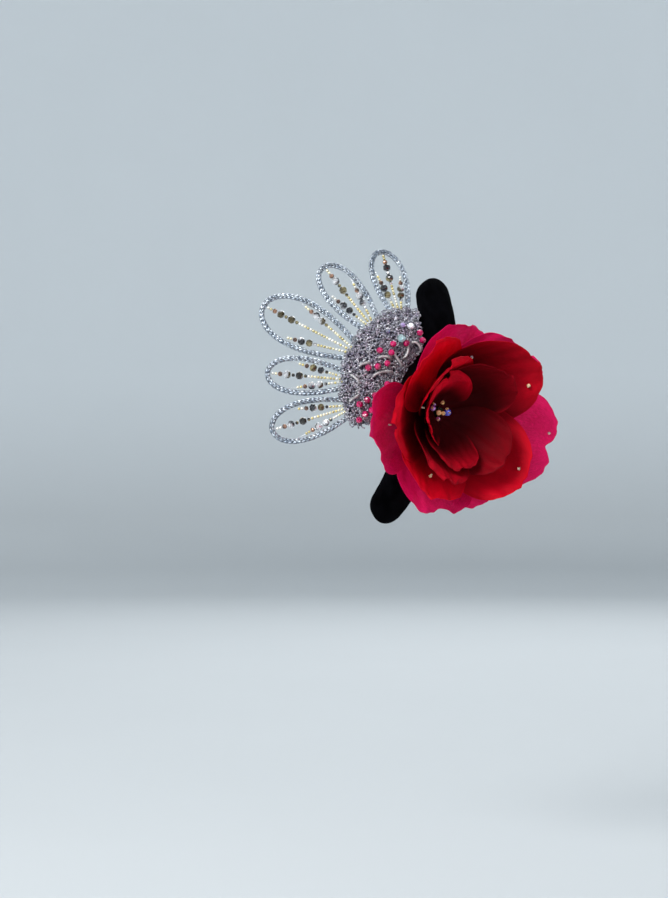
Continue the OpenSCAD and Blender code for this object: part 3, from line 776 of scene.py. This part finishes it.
def strand_places(i, j):
    """Distances back from the cord, of the seed beads and of the larger beads of a strand."""
    start, end = strand_ends(i, j)
    pitch = SEED_D + BEAD_GAP
    run = np.array(facet_run(j)) + BEAD_GAP
    first = (0.1 if j == 0 else 3.4) + TIP_SEEDS * pitch
    large = first + np.cumsum(run) - run / 2
    taken = first + run.sum()
    count = int((np.linalg.norm(end - start) - taken - BARE_ROOT) // pitch)
    seeds = np.concatenate([first - (np.arange(TIP_SEEDS) + 0.5) * pitch,
                            taken + (np.arange(count) + 0.5) * pitch])
    return seeds, large


def strand_frame(i, j):
    """A strand's end, and directions with x from the cord back to the root,, in the part's frame."""
    origin, axes, _ = loop_frame(i)
    start, end = strand_ends(i, j)
    x = unit(start - end)
    local = np.array([x, [-x[1], x[0], 0], [0, 0, 1]])
    return end @ axes + origin, local @ axes


def seed_bead_shape():
    """A seed bead of unit radius about x: a short ring with a round shoulder and a hole through it."""
    t = turn_round(10)
    profile = np.array([[-0.78, 0.4], [-0.86, 0.68], [-0.5, 0.97], [0.5, 0.97], [0.86, 0.68], [0.78, 0.4]])
    return ring_shape(profile, t)


def ring_shape(profile, t, turn=None):
    """A closed ring about x: profile points (x, r) carried round by the angles t, each row turned by turn."""
    profile = np.asarray(profile, float)
    turn = np.zeros(len(profile)) if turn is None else np.asarray(turn)
    angle = t[None] + turn[:, None]
    verts = np.stack([profile[:, 0, None] + 0 * angle, profile[:, 1, None] * np.cos(angle),
                      profile[:, 1, None] * np.sin(angle)], -1)
    rows, cols = verts.shape[:2]
    i, j = np.meshgrid(np.arange(rows), np.arange(cols), indexing="ij")
    i, j = i.ravel(), j.ravel()
    k, m = (i + 1) % rows, (j + 1) % cols
    quads = np.stack([i * cols + j, k * cols + j, k * cols + m, i * cols + m], 1)
    return solid(verts.reshape(-1, 3), quads, [])


def facet_bead_shape():
    """A fire-polished bead of unit radius about x: three belts of facets, each turned half a facet."""
    t = turn_round(8)
    half = TAU / 16
    profile = [[-0.86, 0.24], [-0.84, 0.5], [-0.44, 0.9], [0.0, 1.0], [0.44, 0.9], [0.84, 0.5], [0.86, 0.24]]
    return ring_shape(profile, t, [0, 0, half, 0, half, 0, 0])


SEED_BEAD = seed_bead_shape()
FACET_BEAD = facet_bead_shape()
GOLDS = np.array([[0.72, 0.6, 0.24], [0.82, 0.76, 0.5], [0.5, 0.42, 0.16], [0.85, 0.84, 0.76]])
STONES = np.array([[0.012, 0.012, 0.018], [0.04, 0.04, 0.05], [0.02, 0.015, 0.01], [0.09, 0.065, 0.02]])
BRONZE = np.array([0.1, 0.042, 0.024])
PALE_BRONZE = np.array([0.4, 0.2, 0.12])


def beads(heap, shape, places, axes, radii, tints, rng, pale=None):
    """Copies of a bead, each turned about its own hole. Where pale is given, each point on one side of a
    bead takes that colour, as a half coat does."""
    spin = rng.uniform(0, TAU, len(places))
    cos, sin = np.cos(spin)[:, None], np.sin(spin)[:, None]
    turned = np.stack([axes[:, 0], cos * axes[:, 1] + sin * axes[:, 2], cos * axes[:, 2] - sin * axes[:, 1]], 1)
    many = repeated(shape, places, turned, radii)
    count = len(shape["verts"])
    tint = np.repeat(tints, count, 0)
    if pale is not None:
        way = unit(rng.normal(0, 1, (len(places), 3)))
        side = np.einsum("kj,nj->nk", shape["verts"], way).ravel() > 0.15
        tint = np.where(side[:, None], np.repeat(pale, count, 0), tint)
    heap.add(many, tint)


def loop_beads(i):
    """The seed beads and the larger beads of loop i's three strands, as two heaps."""
    rng = np.random.default_rng(60 + i)
    seeds, stones = Heap(), Heap()
    for j in (-1, 0, 1):
        end, axes = strand_frame(i, j)
        near, far = strand_places(i, j)
        along = np.repeat(axes[None], len(near), 0)
        beads(seeds, SEED_BEAD, end + near[:, None] * axes[0], along,
              SEED_D / 2 * rng.uniform(0.95, 1.0, len(near)),
              GOLDS[rng.integers(0, 4, len(near))] * rng.uniform(0.8, 1, (len(near), 1)), rng)
        sizes = np.array(facet_run(j)) / 2
        colours = STONES[rng.choice(4, len(far), p=[0.5, 0.2, 0.12, 0.18])]
        colours[0] = BRONZE
        small = sizes < 1.2
        colours[small] = STONES[0]
        pale = np.where(rng.random((len(far), 1)) < 0.6, [0.8, 0.8, 0.82], [0.34, 0.28, 0.13])
        pale[0] = PALE_BRONZE
        beads(stones, FACET_BEAD, end + far[:, None] * axes[0], np.repeat(axes[None], len(far), 0), sizes,
              colours, rng, pale)
    return seeds, stones


def wires_shape():
    """The beading wire of every strand, run on into the cord and the crochet, with a knot at the cord."""
    heap = Heap()
    for i in range(len(LOOPS)):
        origin, axes, _ = loop_frame(i)
        for j in (-1, 0, 1):
            start, end = strand_ends(i, j)
            way = unit(end - start)
            t = np.linspace(-1.5, np.linalg.norm(end - start) + (0.6 if j == 0 else 1.2), 24)
            path = start + t[:, None] * way
            heap.add(sweep(path @ axes + origin, axes[2], 0.13, sides=6), (0.9, 0.9, 0.9))
    return heap


# Angle and reach of each magenta bead, and the same with a radius for each crystal
MAGENTA_R, MAGENTA_TINT = 2.0, (0.95, 0.005, 0.2)
MAGENTA_AT = [(97, 24.5), (99.5, 28.6), (118, 25.5), (131, 29), (139, 26.5), (145, 32), (152, 25), (160, 29),
              (164, 33.5), (178, 22), (190, 29), (193, 33.5), (195, 38), (203, 33), (204, 37), (206, 41)]
CRYSTAL_AT = np.array([(107, 33, 2.1), (121, 29, 2.6), (113, 35, 1.6), (127, 36, 1.5)])
CRYSTAL_TINTS = np.array([[0.92, 0.94, 1.0], [0.42, 0.78, 0.82], [0.5, 0.36, 0.75], [0.05, 0.07, 0.25]])


def sewn_beads(at, radii, tints, seed, pale=None):
    """Faceted beads sewn on the crochet, each lying on its side with its hole along the fabric."""
    rng = np.random.default_rng(seed)
    at = np.array(at, float)
    place = fan_point(at[:, 0], at[:, 1], crochet_top(at[:, 0], at[:, 1]) + radii + 0.1)
    up = form_normal(place[:, 0], place[:, 2])
    x = unit(np.cross(up, rng.normal(0, 1, place.shape)))
    heap = Heap()
    beads(heap, FACET_BEAD, place, np.stack([x, np.cross(up, x), up], 1), radii, tints, rng, pale)
    return heap


# ---- The flower ----

FLOWER_AXIS = unit([0.53, -0.835, -0.14])
FLOWER_RIGHT = unit(np.array([1, 0, 0]) - FLOWER_AXIS[0] * FLOWER_AXIS)
FLOWER_UP = np.cross(FLOWER_AXIS, FLOWER_RIGHT)
FLOWER_BASE = on_form(-2.0, -5.0, 9.2)
FLOWER_AXES = np.stack([FLOWER_RIGHT, FLOWER_UP, FLOWER_AXIS])
STEM_H = 10.0
DISC_R = 13.0

# Angle round the flower, length, width, lean off the axis at the stem and at the rim, radius and height where
# it starts, flare of the rim, lap over its neighbour; then the rim's ruffle, curl and lobes, how much longer its
# left side is, and the sideways sweep of its midline in degrees
PETALS = {
    "sheer_petal_1": (70, 48, 50, 88, 60, 3.4, 1.0, 3, 1.6, 0.8, 0.3, 1, 0.0, 0),
    "sheer_petal_2": (30, 62, 56, 88, 48, 3.4, 1.0, 3, 1.6, 1.0, 0.3, 2, -0.06, 0),
    "sheer_petal_3": (-20, 74, 60, 88, 48, 3.4, 1.0, 3, 1.6, 1.0, 0.3, 2, 0.0, 0),
    "sheer_petal_4": (-58, 60, 54, 88, 44, 3.4, 1.0, 3, 1.6, 1.0, 0.3, 2, 0.04, 0),
    "sheer_petal_5": (-102, 59, 56, 88, 35, 3.4, 1.0, 3, 1.6, 1.0, 0.3, 2, 0.0, 0),
    "sheer_petal_6": (-172, 65, 52, 88, 30, 3.4, 1.0, 3, 1.6, 1.2, 0.3, 2, 0.0, 0),
    "red_petal_1": (36, 63, 62, 80, 12, 3.4, 3.3, 5, 1.1, 0.6, 0.8, 0, 0.0, 0),
    "red_petal_2": (120, 56, 50, 80, 12, 3.4, 3.3, 5, 1.1, 0.8, 2.0, 0, 0.0, 0),
    "red_petal_3": (180, 58, 52, 80, 12, 3.4, 3.3, 5, 1.1, 1.0, 2.6, 0, 0.0, 0),
    "red_petal_4": (240, 58, 54, 80, 12, 3.4, 3.3, 5, 1.1, 0.9, 1.2, 0, 0.0, 0),
    "red_petal_5": (310, 63, 60, 80, 12, 3.4, 3.3, 5, 1.1, 1.3, 0.4, 0, 0.0, 0),
    "middle_petal_1": (45, 50, 46, 66, 4, 3.4, 5.5, 2, 1.15, 0.4, 0.2, 0, 0.0, 0),
    "middle_petal_2": (118, 50, 46, 66, 4, 3.4, 5.5, 2, 1.15, 0.6, 2.4, 0, 0.0, 0),
    "middle_petal_3": (235, 55, 44, 66, 4, 3.4, 5.5, 2, 1.15, 0.8, 2.0, 0, 0.0, 0),
    "middle_petal_4": (308, 50, 46, 66, 4, 3.4, 5.5, 2, 1.15, 0.4, 0.2, 0, 0.0, 0),
    "inner_petal_1": (108, 28, 46, 64, 9, 3.2, 7.6, 1, 1.2, 0.3, 3.2, 0, 0.0, 0),
    "inner_petal_2": (185, 34, 34, 62, 8, 3.2, 7.6, 1, 1.2, 0.4, 1.2, 0, 0.0, 0),
    "inner_petal_3": (255, 43, 36, 62, 3, 3.2, 7.6, 1, 1.2, 0.4, 1.8, 0, 0.0, 0),
}
PETAL_T = 0.24
# Where along a petal it is widest, and its width at the stem as a share of that
WIDEST, FOOT_SHARE = 0.6, 0.07
# Painted shade and light on the petals: the shares of a petal's length between which the shade painted into its
# heart lightens, and how light it gets: for a whole ring of petals, and for the petals that differ from their
# ring
HEART_SHADE = {
    "sheer": (0.05, 0.45, 1.0), "red": (0.15, 0.95, 1.0), "middle": (0.3, 1.0, 0.95), "inner": (0.5, 1.0, 1.0),
    "red_petal_1": (0.35, 1.0, 0.72), "red_petal_2": (-0.2, 0.3, 1.0), "red_petal_5": (0.2, 0.95, 0.9),
    "middle_petal_1": (0.5, 1.2, 0.5), "middle_petal_2": (0.3, 0.9, 0.9), "middle_petal_3": (0.4, 1.1, 0.75),
    "middle_petal_4": (0.2, 1.1, 0.36), "inner_petal_1": (0.3, 0.8, 1.0), "inner_petal_3": (0.4, 1.1, 0.6),
}


def in_flower(local):
    """Points in the flower's own frame carried to the part's frame."""
    return local @ FLOWER_AXES + FLOWER_BASE


def petal_half(width, u, blunt):
    """Half width along a petal: a sine up to its widest, then an oval tip, squarer the larger blunt is."""
    rise = mix(FOOT_SHARE, 1, np.sin(np.pi / 2 * np.minimum(u / WIDEST, 1)))
    tip = np.sqrt(np.clip(1 - (np.clip(u - WIDEST, 0, None) / (1 - WIDEST)) ** blunt, 0.006, 1))
    return width / 2 * np.where(u < WIDEST, rise, tip)


def petal_point(name, u, v):
    """Point of a petal, u from the stem to the rim and v from -1 to 1 across. Its midline is an arc whose lean
    turns evenly from stem to rim; across, it bends round the flower's axis, one edge lapped over the next."""
    az, length, width, lean0, lean1, r0, h0, flare, lap, ruffle, curl, lobes, skew, sweep_az = PETALS[name]
    rng = np.random.default_rng(sum(map(ord, name)))
    phase = rng.uniform(0, TAU, 6)
    half = petal_half(width, u, 4.5 if lobes else 2.6)
    x = v * half / width * 2
    notch = 0.07 * np.exp(-((x / 0.2) ** 2)) * (lobes > 1)
    nibble = 0.004 * np.sin(31 * x + phase[0]) + 0.006 * np.sin(17 * x + phase[5])
    full = u * (1 - (notch + nibble) * smooth(u * 2 - 1) + skew * v * u)
    turn = np.radians(lean1 - lean0)
    lean = np.radians(lean0) + turn * full
    lift = lap * v * np.minimum(1, 0.3 + 3 * u)
    grow = smooth((u - 0.35) / 0.65)
    edge = smooth((np.abs(v) - 0.5) / 0.5)
    wave = (ruffle * grow * (0.55 * np.sin(7.5 * x + phase[2] + 2 * u) + 0.45 * edge * np.sin(13 * u + phase[3])
                             + 0.3 * np.sin(15 * x + phase[4]))
            * (0.35 + 0.65 * np.maximum(edge, smooth(u * 4 - 3))))
    pleat = (0.3 * (1 - grow) * np.sin(13 * v + phase[5]) * smooth(u * 8)
             + 0.45 * np.sin(4.5 * x + 3 * u + phase[1]) * np.sin(np.pi * np.clip(u, 0, 1))
             + 0.16 * np.sin(23 * x + 4 * u + phase[2]) * smooth(u * 3 - 0.5))
    rolled = curl * (smooth((u - 0.82) / 0.18) ** 2 + 0.6 * edge**3 * grow)
    off = wave + pleat - rolled
    r = r0 + length * (np.cos(np.radians(lean0)) - np.cos(lean)) / turn + flare * u**4
    h = h0 + length * (np.sin(lean) - np.sin(np.radians(lean0))) / turn
    bend_r = r + 2
    a = v * half / bend_r
    out = r - bend_r * (1 - np.cos(a)) - (lift + off) * np.cos(lean)
    side = bend_r * np.sin(a)
    turned = np.radians(az + sweep_az * u**2)
    ca, sa = np.cos(turned), np.sin(turned)
    return np.stack([out * ca - side * sa, out * sa + side * ca, h + (lift + off) * np.sin(lean)], -1)


def petal_shape(name, rows=90, cols=72):
    """A petal's closed skin: its surface moved half a thickness to either side along its normals. Its tint is
    painted
    shade and light: dark in the heart, lightening towards the rim and the edges."""
    u = (1 - np.cos(np.linspace(0.12, np.pi, rows))) / 2
    v = np.sin(np.linspace(-1, 1, cols) * np.pi / 2)
    grid = petal_point(name, u[:, None] + 0 * v, v + 0 * u[:, None])
    normal = unit(np.cross(np.gradient(grid, axis=0), np.gradient(grid, axis=1)))
    top, bottom = grid + normal * PETAL_T / 2, grid - normal * PETAL_T / 2
    # Painted shade in the heart of the petal, and painted light along its side edges towards the rim.
    start, end, full = HEART_SHADE.get(name, HEART_SHADE[name.split("_")[0]])
    dye_and_painted_shade = np.maximum(smooth((u[:, None] - start) / (end - start)),
                     0.7 * smooth((np.abs(v) - 0.86) / 0.14) * smooth(3 * u[:, None] - 1))
    tint = np.tile(mix(0.1, full, dye_and_painted_shade).ravel(), 2)[:, None] * np.ones(3)
    heap = Heap()
    heap.add(shell(in_flower(top), in_flower(bottom), (PETALS[name][1], PETALS[name][2])), tint)
    return heap


def disc_shape():
    """The felt disc under the flower: rings from its middle out over a rounded rim and back."""
    r = np.array([0.2, 6, DISC_R - 1, DISC_R - 0.3, DISC_R, DISC_R - 0.3, DISC_R - 1, 6, 0.2])
    z = np.array([-0.05, -0.05, -0.05, -0.2, -0.6, -1.0, -1.15, -1.15, -1.15])
    t = turn_round(72)
    rings = np.stack([r[:, None] * np.cos(t), r[:, None] * np.sin(t), z[:, None] + 0 * t], -1)
    return tube(in_flower(rings), (26, 80))


def stem_shape():
    """The taped stem: a short rod with the tape's turns as ridges round it."""
    z = np.linspace(0.05, STEM_H, 60)
    t = turn_round(32)
    r = 2.45 + 0.12 * np.mod(z[:, None] / 1.6 + t / TAU, 1.0)
    r = r * np.where(z > STEM_H - 0.5, 0.9, 1)[:, None]
    rings = np.stack([r * np.cos(t), r * np.sin(t), z[:, None] + 0 * t], -1)
    return tube(in_flower(rings), (10, 16))


# Place across the flower, height over its base, radius and kind of each bead at its heart
STAMENS = [(-5.5, 7.0, 20, 1.2, "gold"), (-11.4, 4.2, 19, 1.7, "violet"), (-8.4, 1.6, 20.5, 1.6, "gold"),
           (-6.0, 1.2, 21.5, 1.3, "gold"), (-2.1, 1.2, 20, 2.2, "blue"), (-7.8, -2.2, 19, 1.3, "pink"),
           (-9.2, 6.0, 17, 1.1, "violet"), (-4.0, 3.6, 22, 0.8, "gold")]
KINDS = {"gold": (0.85, 0.45, 0.12), "violet": (0.3, 0.05, 0.34), "blue": (0.02, 0.05, 0.75),
         "pink": (0.5, 0.06, 0.25)}


def stamens_shape():
    """Gold wires that bow out from the stem to the beads at the flower's heart."""
    heap = Heap()
    t = np.linspace(0, 1, 16)[:, None]
    for x, y, z, _, _ in STAMENS:
        foot, top = np.array([x * 0.25, y * 0.25, STEM_H - 0.5]), np.array([x, y, z])
        path = mix(foot, top, t) + np.sin(np.pi * t) * np.array([-y, x, 0]) * 0.05
        heap.add(sweep(in_flower(path), np.array([1.0, 0.2, 0.1]), 0.2, sides=6))
    return heap


def heart_beads_shape():
    """Faceted beads at the ends of the stamens, with a small gold bead beyond each large one."""
    rng = np.random.default_rng(90)
    heap = Heap()
    for x, y, z, r, kind in STAMENS:
        place = in_flower(np.array([[x, y, z]]))
        way = unit(np.array([[x * 0.75, y * 0.75, z - STEM_H]]) @ FLOWER_AXES)
        side = unit(np.cross(way, [[0.1, 0.2, 1.0]]))
        axes = np.stack([way, side, np.cross(way, side)], 1)
        beads(heap, FACET_BEAD, place, axes, np.array([r]), np.array([KINDS[kind]]), rng,
              np.array([KINDS[kind]]) * 1.5 + 0.05)
        beads(heap, SEED_BEAD, place + way * (r + 0.55), axes, np.array([0.6]), np.array([KINDS["gold"]]), rng)
    return heap


# Petal, place along it and across it, radius and colour of each bead sewn near a rim
DEW = [
    ("red_petal_1", 0.58, 0.62, 0.9, (0.85, 0.55, 0.62)),
    ("red_petal_1", 0.85, -0.52, 1.15, (0.9, 0.66, 0.34)),
    ("sheer_petal_3", 0.94, 0.38, 0.9, (0.8, 0.78, 0.8)),
    ("red_petal_5", 0.9, 0.3, 1.0, (0.88, 0.68, 0.5)),
    ("red_petal_4", 0.73, 0.02, 1.05, (0.9, 0.66, 0.36)),
    ("sheer_petal_6", 0.56, -0.05, 0.7, (0.8, 0.6, 0.6)),
    ("middle_petal_2", 0.58, 0.86, 0.7, (0.85, 0.75, 0.6)),
]
# The step in u and v over which a petal's slope is taken
DEW_STEP = 0.01


def dew_shape():
    """Small beads sewn near the petals' rims, each topped with a tiny one that holds it."""
    rng = np.random.default_rng(31)
    heap = Heap()
    for name, u, v, r, tint in DEW:
        here = petal_point(name, np.array([[u, u + DEW_STEP], [u, u]]), np.array([[v, v], [v + DEW_STEP, v]]))
        normal = unit(np.cross(here[0, 1] - here[0, 0], here[1, 0] - here[1, 1]))
        place = in_flower(here[0, 0] + normal * (r * 0.8 + PETAL_T))[None]
        way = (normal @ FLOWER_AXES)[None]
        side = unit(np.cross(way, [[0.3, 0.2, 1.0]]))
        axes = np.stack([way, side, np.cross(way, side)], 1)
        beads(heap, FACET_BEAD, place, axes, np.array([r]), np.array([tint]), rng, np.array([tint]) * 0.5)
        beads(heap, SEED_BEAD, place + way * (r + 0.3), axes, np.array([0.45]),
              np.array([[0.9, 0.7, 0.4]]), rng)
    return heap


# ---- The clips ----

CLIP_PAD_T, PIN_X, PIN_Z = 2.5, -6.0, 3.2
CLIP_HEIGHTS = {"upper": 43.0, "lower": -42.0}


def clip_frame(side):
    """A clip's origin and directions: x down along the band, z towards the head."""
    a = np.arcsin((CLIP_HEIGHTS[side] - BAND_ARC_XZ[1]) / BAND_ARC_R)

    def at(q):
        return on_form(BAND_ARC_XZ[0] + BAND_ARC_R * np.cos(q), BAND_ARC_XZ[1] + BAND_ARC_R * np.sin(q), 0)

    n = (FORM_C - at(a)) / FORM_R
    x = unit(at(a - 0.01) - at(a + 0.01))
    x = unit(x - (x @ n) * n)
    return at(a), np.stack([x, np.cross(n, x), n])


def spring_shape(side):
    """The leaf spring: a strip along the plate, round the hinge pin and back along the lever."""
    origin, axes = clip_frame(side)
    bow = np.radians(np.linspace(-95, 95, 25))
    x = np.concatenate([[-17, -14.5, -12], PIN_X + 1.15 * np.cos(bow), [-11, -13.8, -16.5]])
    z = np.concatenate([[0.95, 1.1, 1.35], PIN_Z + 1.15 * np.sin(bow), [5.15, 5.8, 6.35]])
    path = resample(np.stack([x, 0 * x, z + CLIP_PAD_T], 1), 0.35)
    return sweep(path @ axes + origin, axes[1], 1.7, 0.15, sides=10)


# ---- Everything in its place ----


def build_band():
    """The padded band: cover, back and stitches, over the hidden layers that stay from the CAD."""
    cover = piece("velvet_band", velvet_shape(), VELVET, ["velvet_cover"])
    piece("felt_back", lining_shape(), FELT, ["felt_lining"])
    piece("back_stitches", stitches_shape(), THREAD)


def build_fan():
    """The crochet with its net, twists and loose foil, the corded loops and every bead."""
    piece("crochet_net", net_shape(), NET, ["crochet_base"])
    piece("crochet_rows_1", crochet_shape(np.linspace(0.02, 0.46, 9), 11), SILVER)
    piece("crochet_rows_2", crochet_shape(np.linspace(0.52, 1.0, 9), 12), SILVER)
    piece("crochet_twists", twists_shape(), PALE_CORD)
    piece("crochet_glints", glints_shape(), SILVER)
    for i in range(len(LOOPS)):
        piece(f"braided_loop_{i + 1}", braid_shape(i), BRAID, [f"cord_loop_{i + 1}"])
        seeds, stones = loop_beads(i)
        piece(f"gold_seeds_{i + 1}", seeds, SEED_GLASS, [f"seed_beads_{i + 1}"])
        piece(f"cut_beads_{i + 1}", stones, FACET_GLASS, [f"facet_beads_{i + 1}"],
              smooth_faces=False)
    piece("beading_wires", wires_shape(), BEAD_WIRE, ["strand_wires"])
    wine = np.tile(MAGENTA_TINT, (len(MAGENTA_AT), 1))
    magenta = sewn_beads(MAGENTA_AT, np.full(len(MAGENTA_AT), MAGENTA_R), wine, 5, wine * 0.6)
    piece("magenta_cut_beads", magenta, MAGENTA_GLASS, ["magenta_beads"], smooth_faces=False)
    crystals = sewn_beads(CRYSTAL_AT[:, :2], CRYSTAL_AT[:, 2], CRYSTAL_TINTS, 6, CRYSTAL_TINTS * 0.4 + 0.1)
    piece("cut_crystals", crystals, CRYSTAL_GLASS, ["crystals"], smooth_faces=False)


def build_flower():
    """Petals, disc, stem, stamens and the beads on them."""
    for name in PETALS:
        cloth, slot = (SHEER, "sheer_magenta_organza") if name.startswith("sheer") else (SILK, "red_silk")
        piece(name.replace("petal", "petal_cloth"), petal_shape(name), cloth, [name])
    piece("flower_backing", disc_shape(), FELT, ["flower_disc"])
    piece("taped_stem", stem_shape(), STEM_TAPE, ["flower_stem"])
    piece("stamens", stamens_shape(), GOLD_WIRE, ["stamen_wires"])
    piece("heart_beads", heart_beads_shape(), CRYSTAL_GLASS, ["stamen_beads"],
          smooth_faces=False)
    piece("dew", dew_shape(), CRYSTAL_GLASS, ["dew_beads"], smooth_faces=False)


def build_clips():
    """The clips keep their CAD steel; each spring bends between its clip's plate and lever."""
    for side in CLIP_HEIGHTS:
        spring = piece(f"{side}_leaf_spring", spring_shape(side), SPRING_STEEL,
                       [f"{side}_clip_spring"], body=None)
        origin, axes = clip_frame(side)
        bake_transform(spring)


def finish_cad_nodes():
    """Materials for the CAD nodes that stay: clip steel, pads and the band's hidden layers."""
    finishes = {"_clip_plate": PLATED, "_clip_lever": PLATED, "_clip_pin": SPRING_STEEL, "_clip_pad": FELT,
                "band_padding": WADDING, "band_core": BOARD, "fan_felt": FELT}
    for name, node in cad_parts.items():
        for ending, material in finishes.items():
            if name.endswith(ending):
                node.data.materials.clear()
                node.data.materials.append(material)


# In metres: the camera's distance, the middle and the height of what it sees, and the floor's height
CAMERA_Y = -1.2
VIEW_CENTRE = (-0.0528, -0.0284)
VIEW_TALL = 0.5208
FLOOR_Z = -0.28
SENSOR = 36.0


def build_stage():
    """A round pale floor that sweeps up into a far wall: a profile of radius and height carried round."""
    r = np.array([1.0, 2.4, 2.7, 2.9, 3.0, 3.0]) / MM
    z = np.array([0, 0, 0.03, 0.12, 0.4, 4.5]) / MM + FLOOR_Z / MM
    t = turn_round(96)
    rings = np.stack([r[:, None] * np.cos(t), r[:, None] * np.sin(t), z[:, None] + 0 * t], -1)
    quads, at = grid_quads(len(r), len(t), wrap=True)
    j = np.arange(len(t))
    middle = np.stack([np.full(len(t), rings.size // 3), j, np.roll(j, -1)], 1)
    verts = np.concatenate([rings.reshape(-1, 3), [[0, 0, z[0]]]])
    heap = Heap()
    rise = smooth((verts[:, 2] - z[0]) * MM / 0.4)[:, None]
    heap.add({"verts": verts, "quads": quads, "tris": middle, "quad_uv": at,
              "tri_uv": np.zeros((len(t), 3, 2))}, mix(np.array([0.77, 0.765, 0.76]), np.ones(3), rise))
    heap.piece("studio_floor", studio_paper(), body=None)


def area_light(name, place, size, power, colour):
    """A square soft light that faces the object."""
    data = bpy.data.lights.new(name, "AREA")
    data.size, data.energy, data.color = size, power, colour
    light = bpy.data.objects.new(name, data)
    light.location = place
    light.rotation_euler = (-Vector(place)).to_track_quat("-Z", "Y").to_euler()
    bpy.context.scene.collection.objects.link(light)


def build_view():
    """Lights, world and a camera level with the head, square to the band."""
    scene = bpy.context.scene
    world = bpy.data.worlds.new("soft_room")
    world.use_nodes = True
    sky = world.node_tree.nodes["Background"]
    sky.inputs["Color"].default_value = (0.88, 0.94, 1.0, 1)
    sky.inputs["Strength"].default_value = 0.55
    scene.world = world
    area_light("window", (-1.2, -1.6, 1.3), 1.1, 62, (1.0, 0.99, 0.97))
    area_light("fill", (1.4, -1.5, 0.4), 1.6, 7, (0.93, 0.96, 1.0))
    area_light("back_fill", (0.3, 1.6, 1.2), 1.6, 18, (1.0, 1.0, 1.0))
    data = bpy.data.cameras.new("camera")
    data.sensor_width = SENSOR
    data.lens = SENSOR / VIEW_TALL * -CAMERA_Y
    camera = bpy.data.objects.new("camera", data)
    camera.location = (VIEW_CENTRE[0], CAMERA_Y, VIEW_CENTRE[1])
    camera.rotation_euler = (np.pi / 2, 0, 0)
    scene.collection.objects.link(camera)
    scene.camera = camera
    scene.view_settings.view_transform = "Standard"


build_view()
build_stage()
build_band()
build_fan()
build_flower()
build_clips()
finish_cad_nodes()
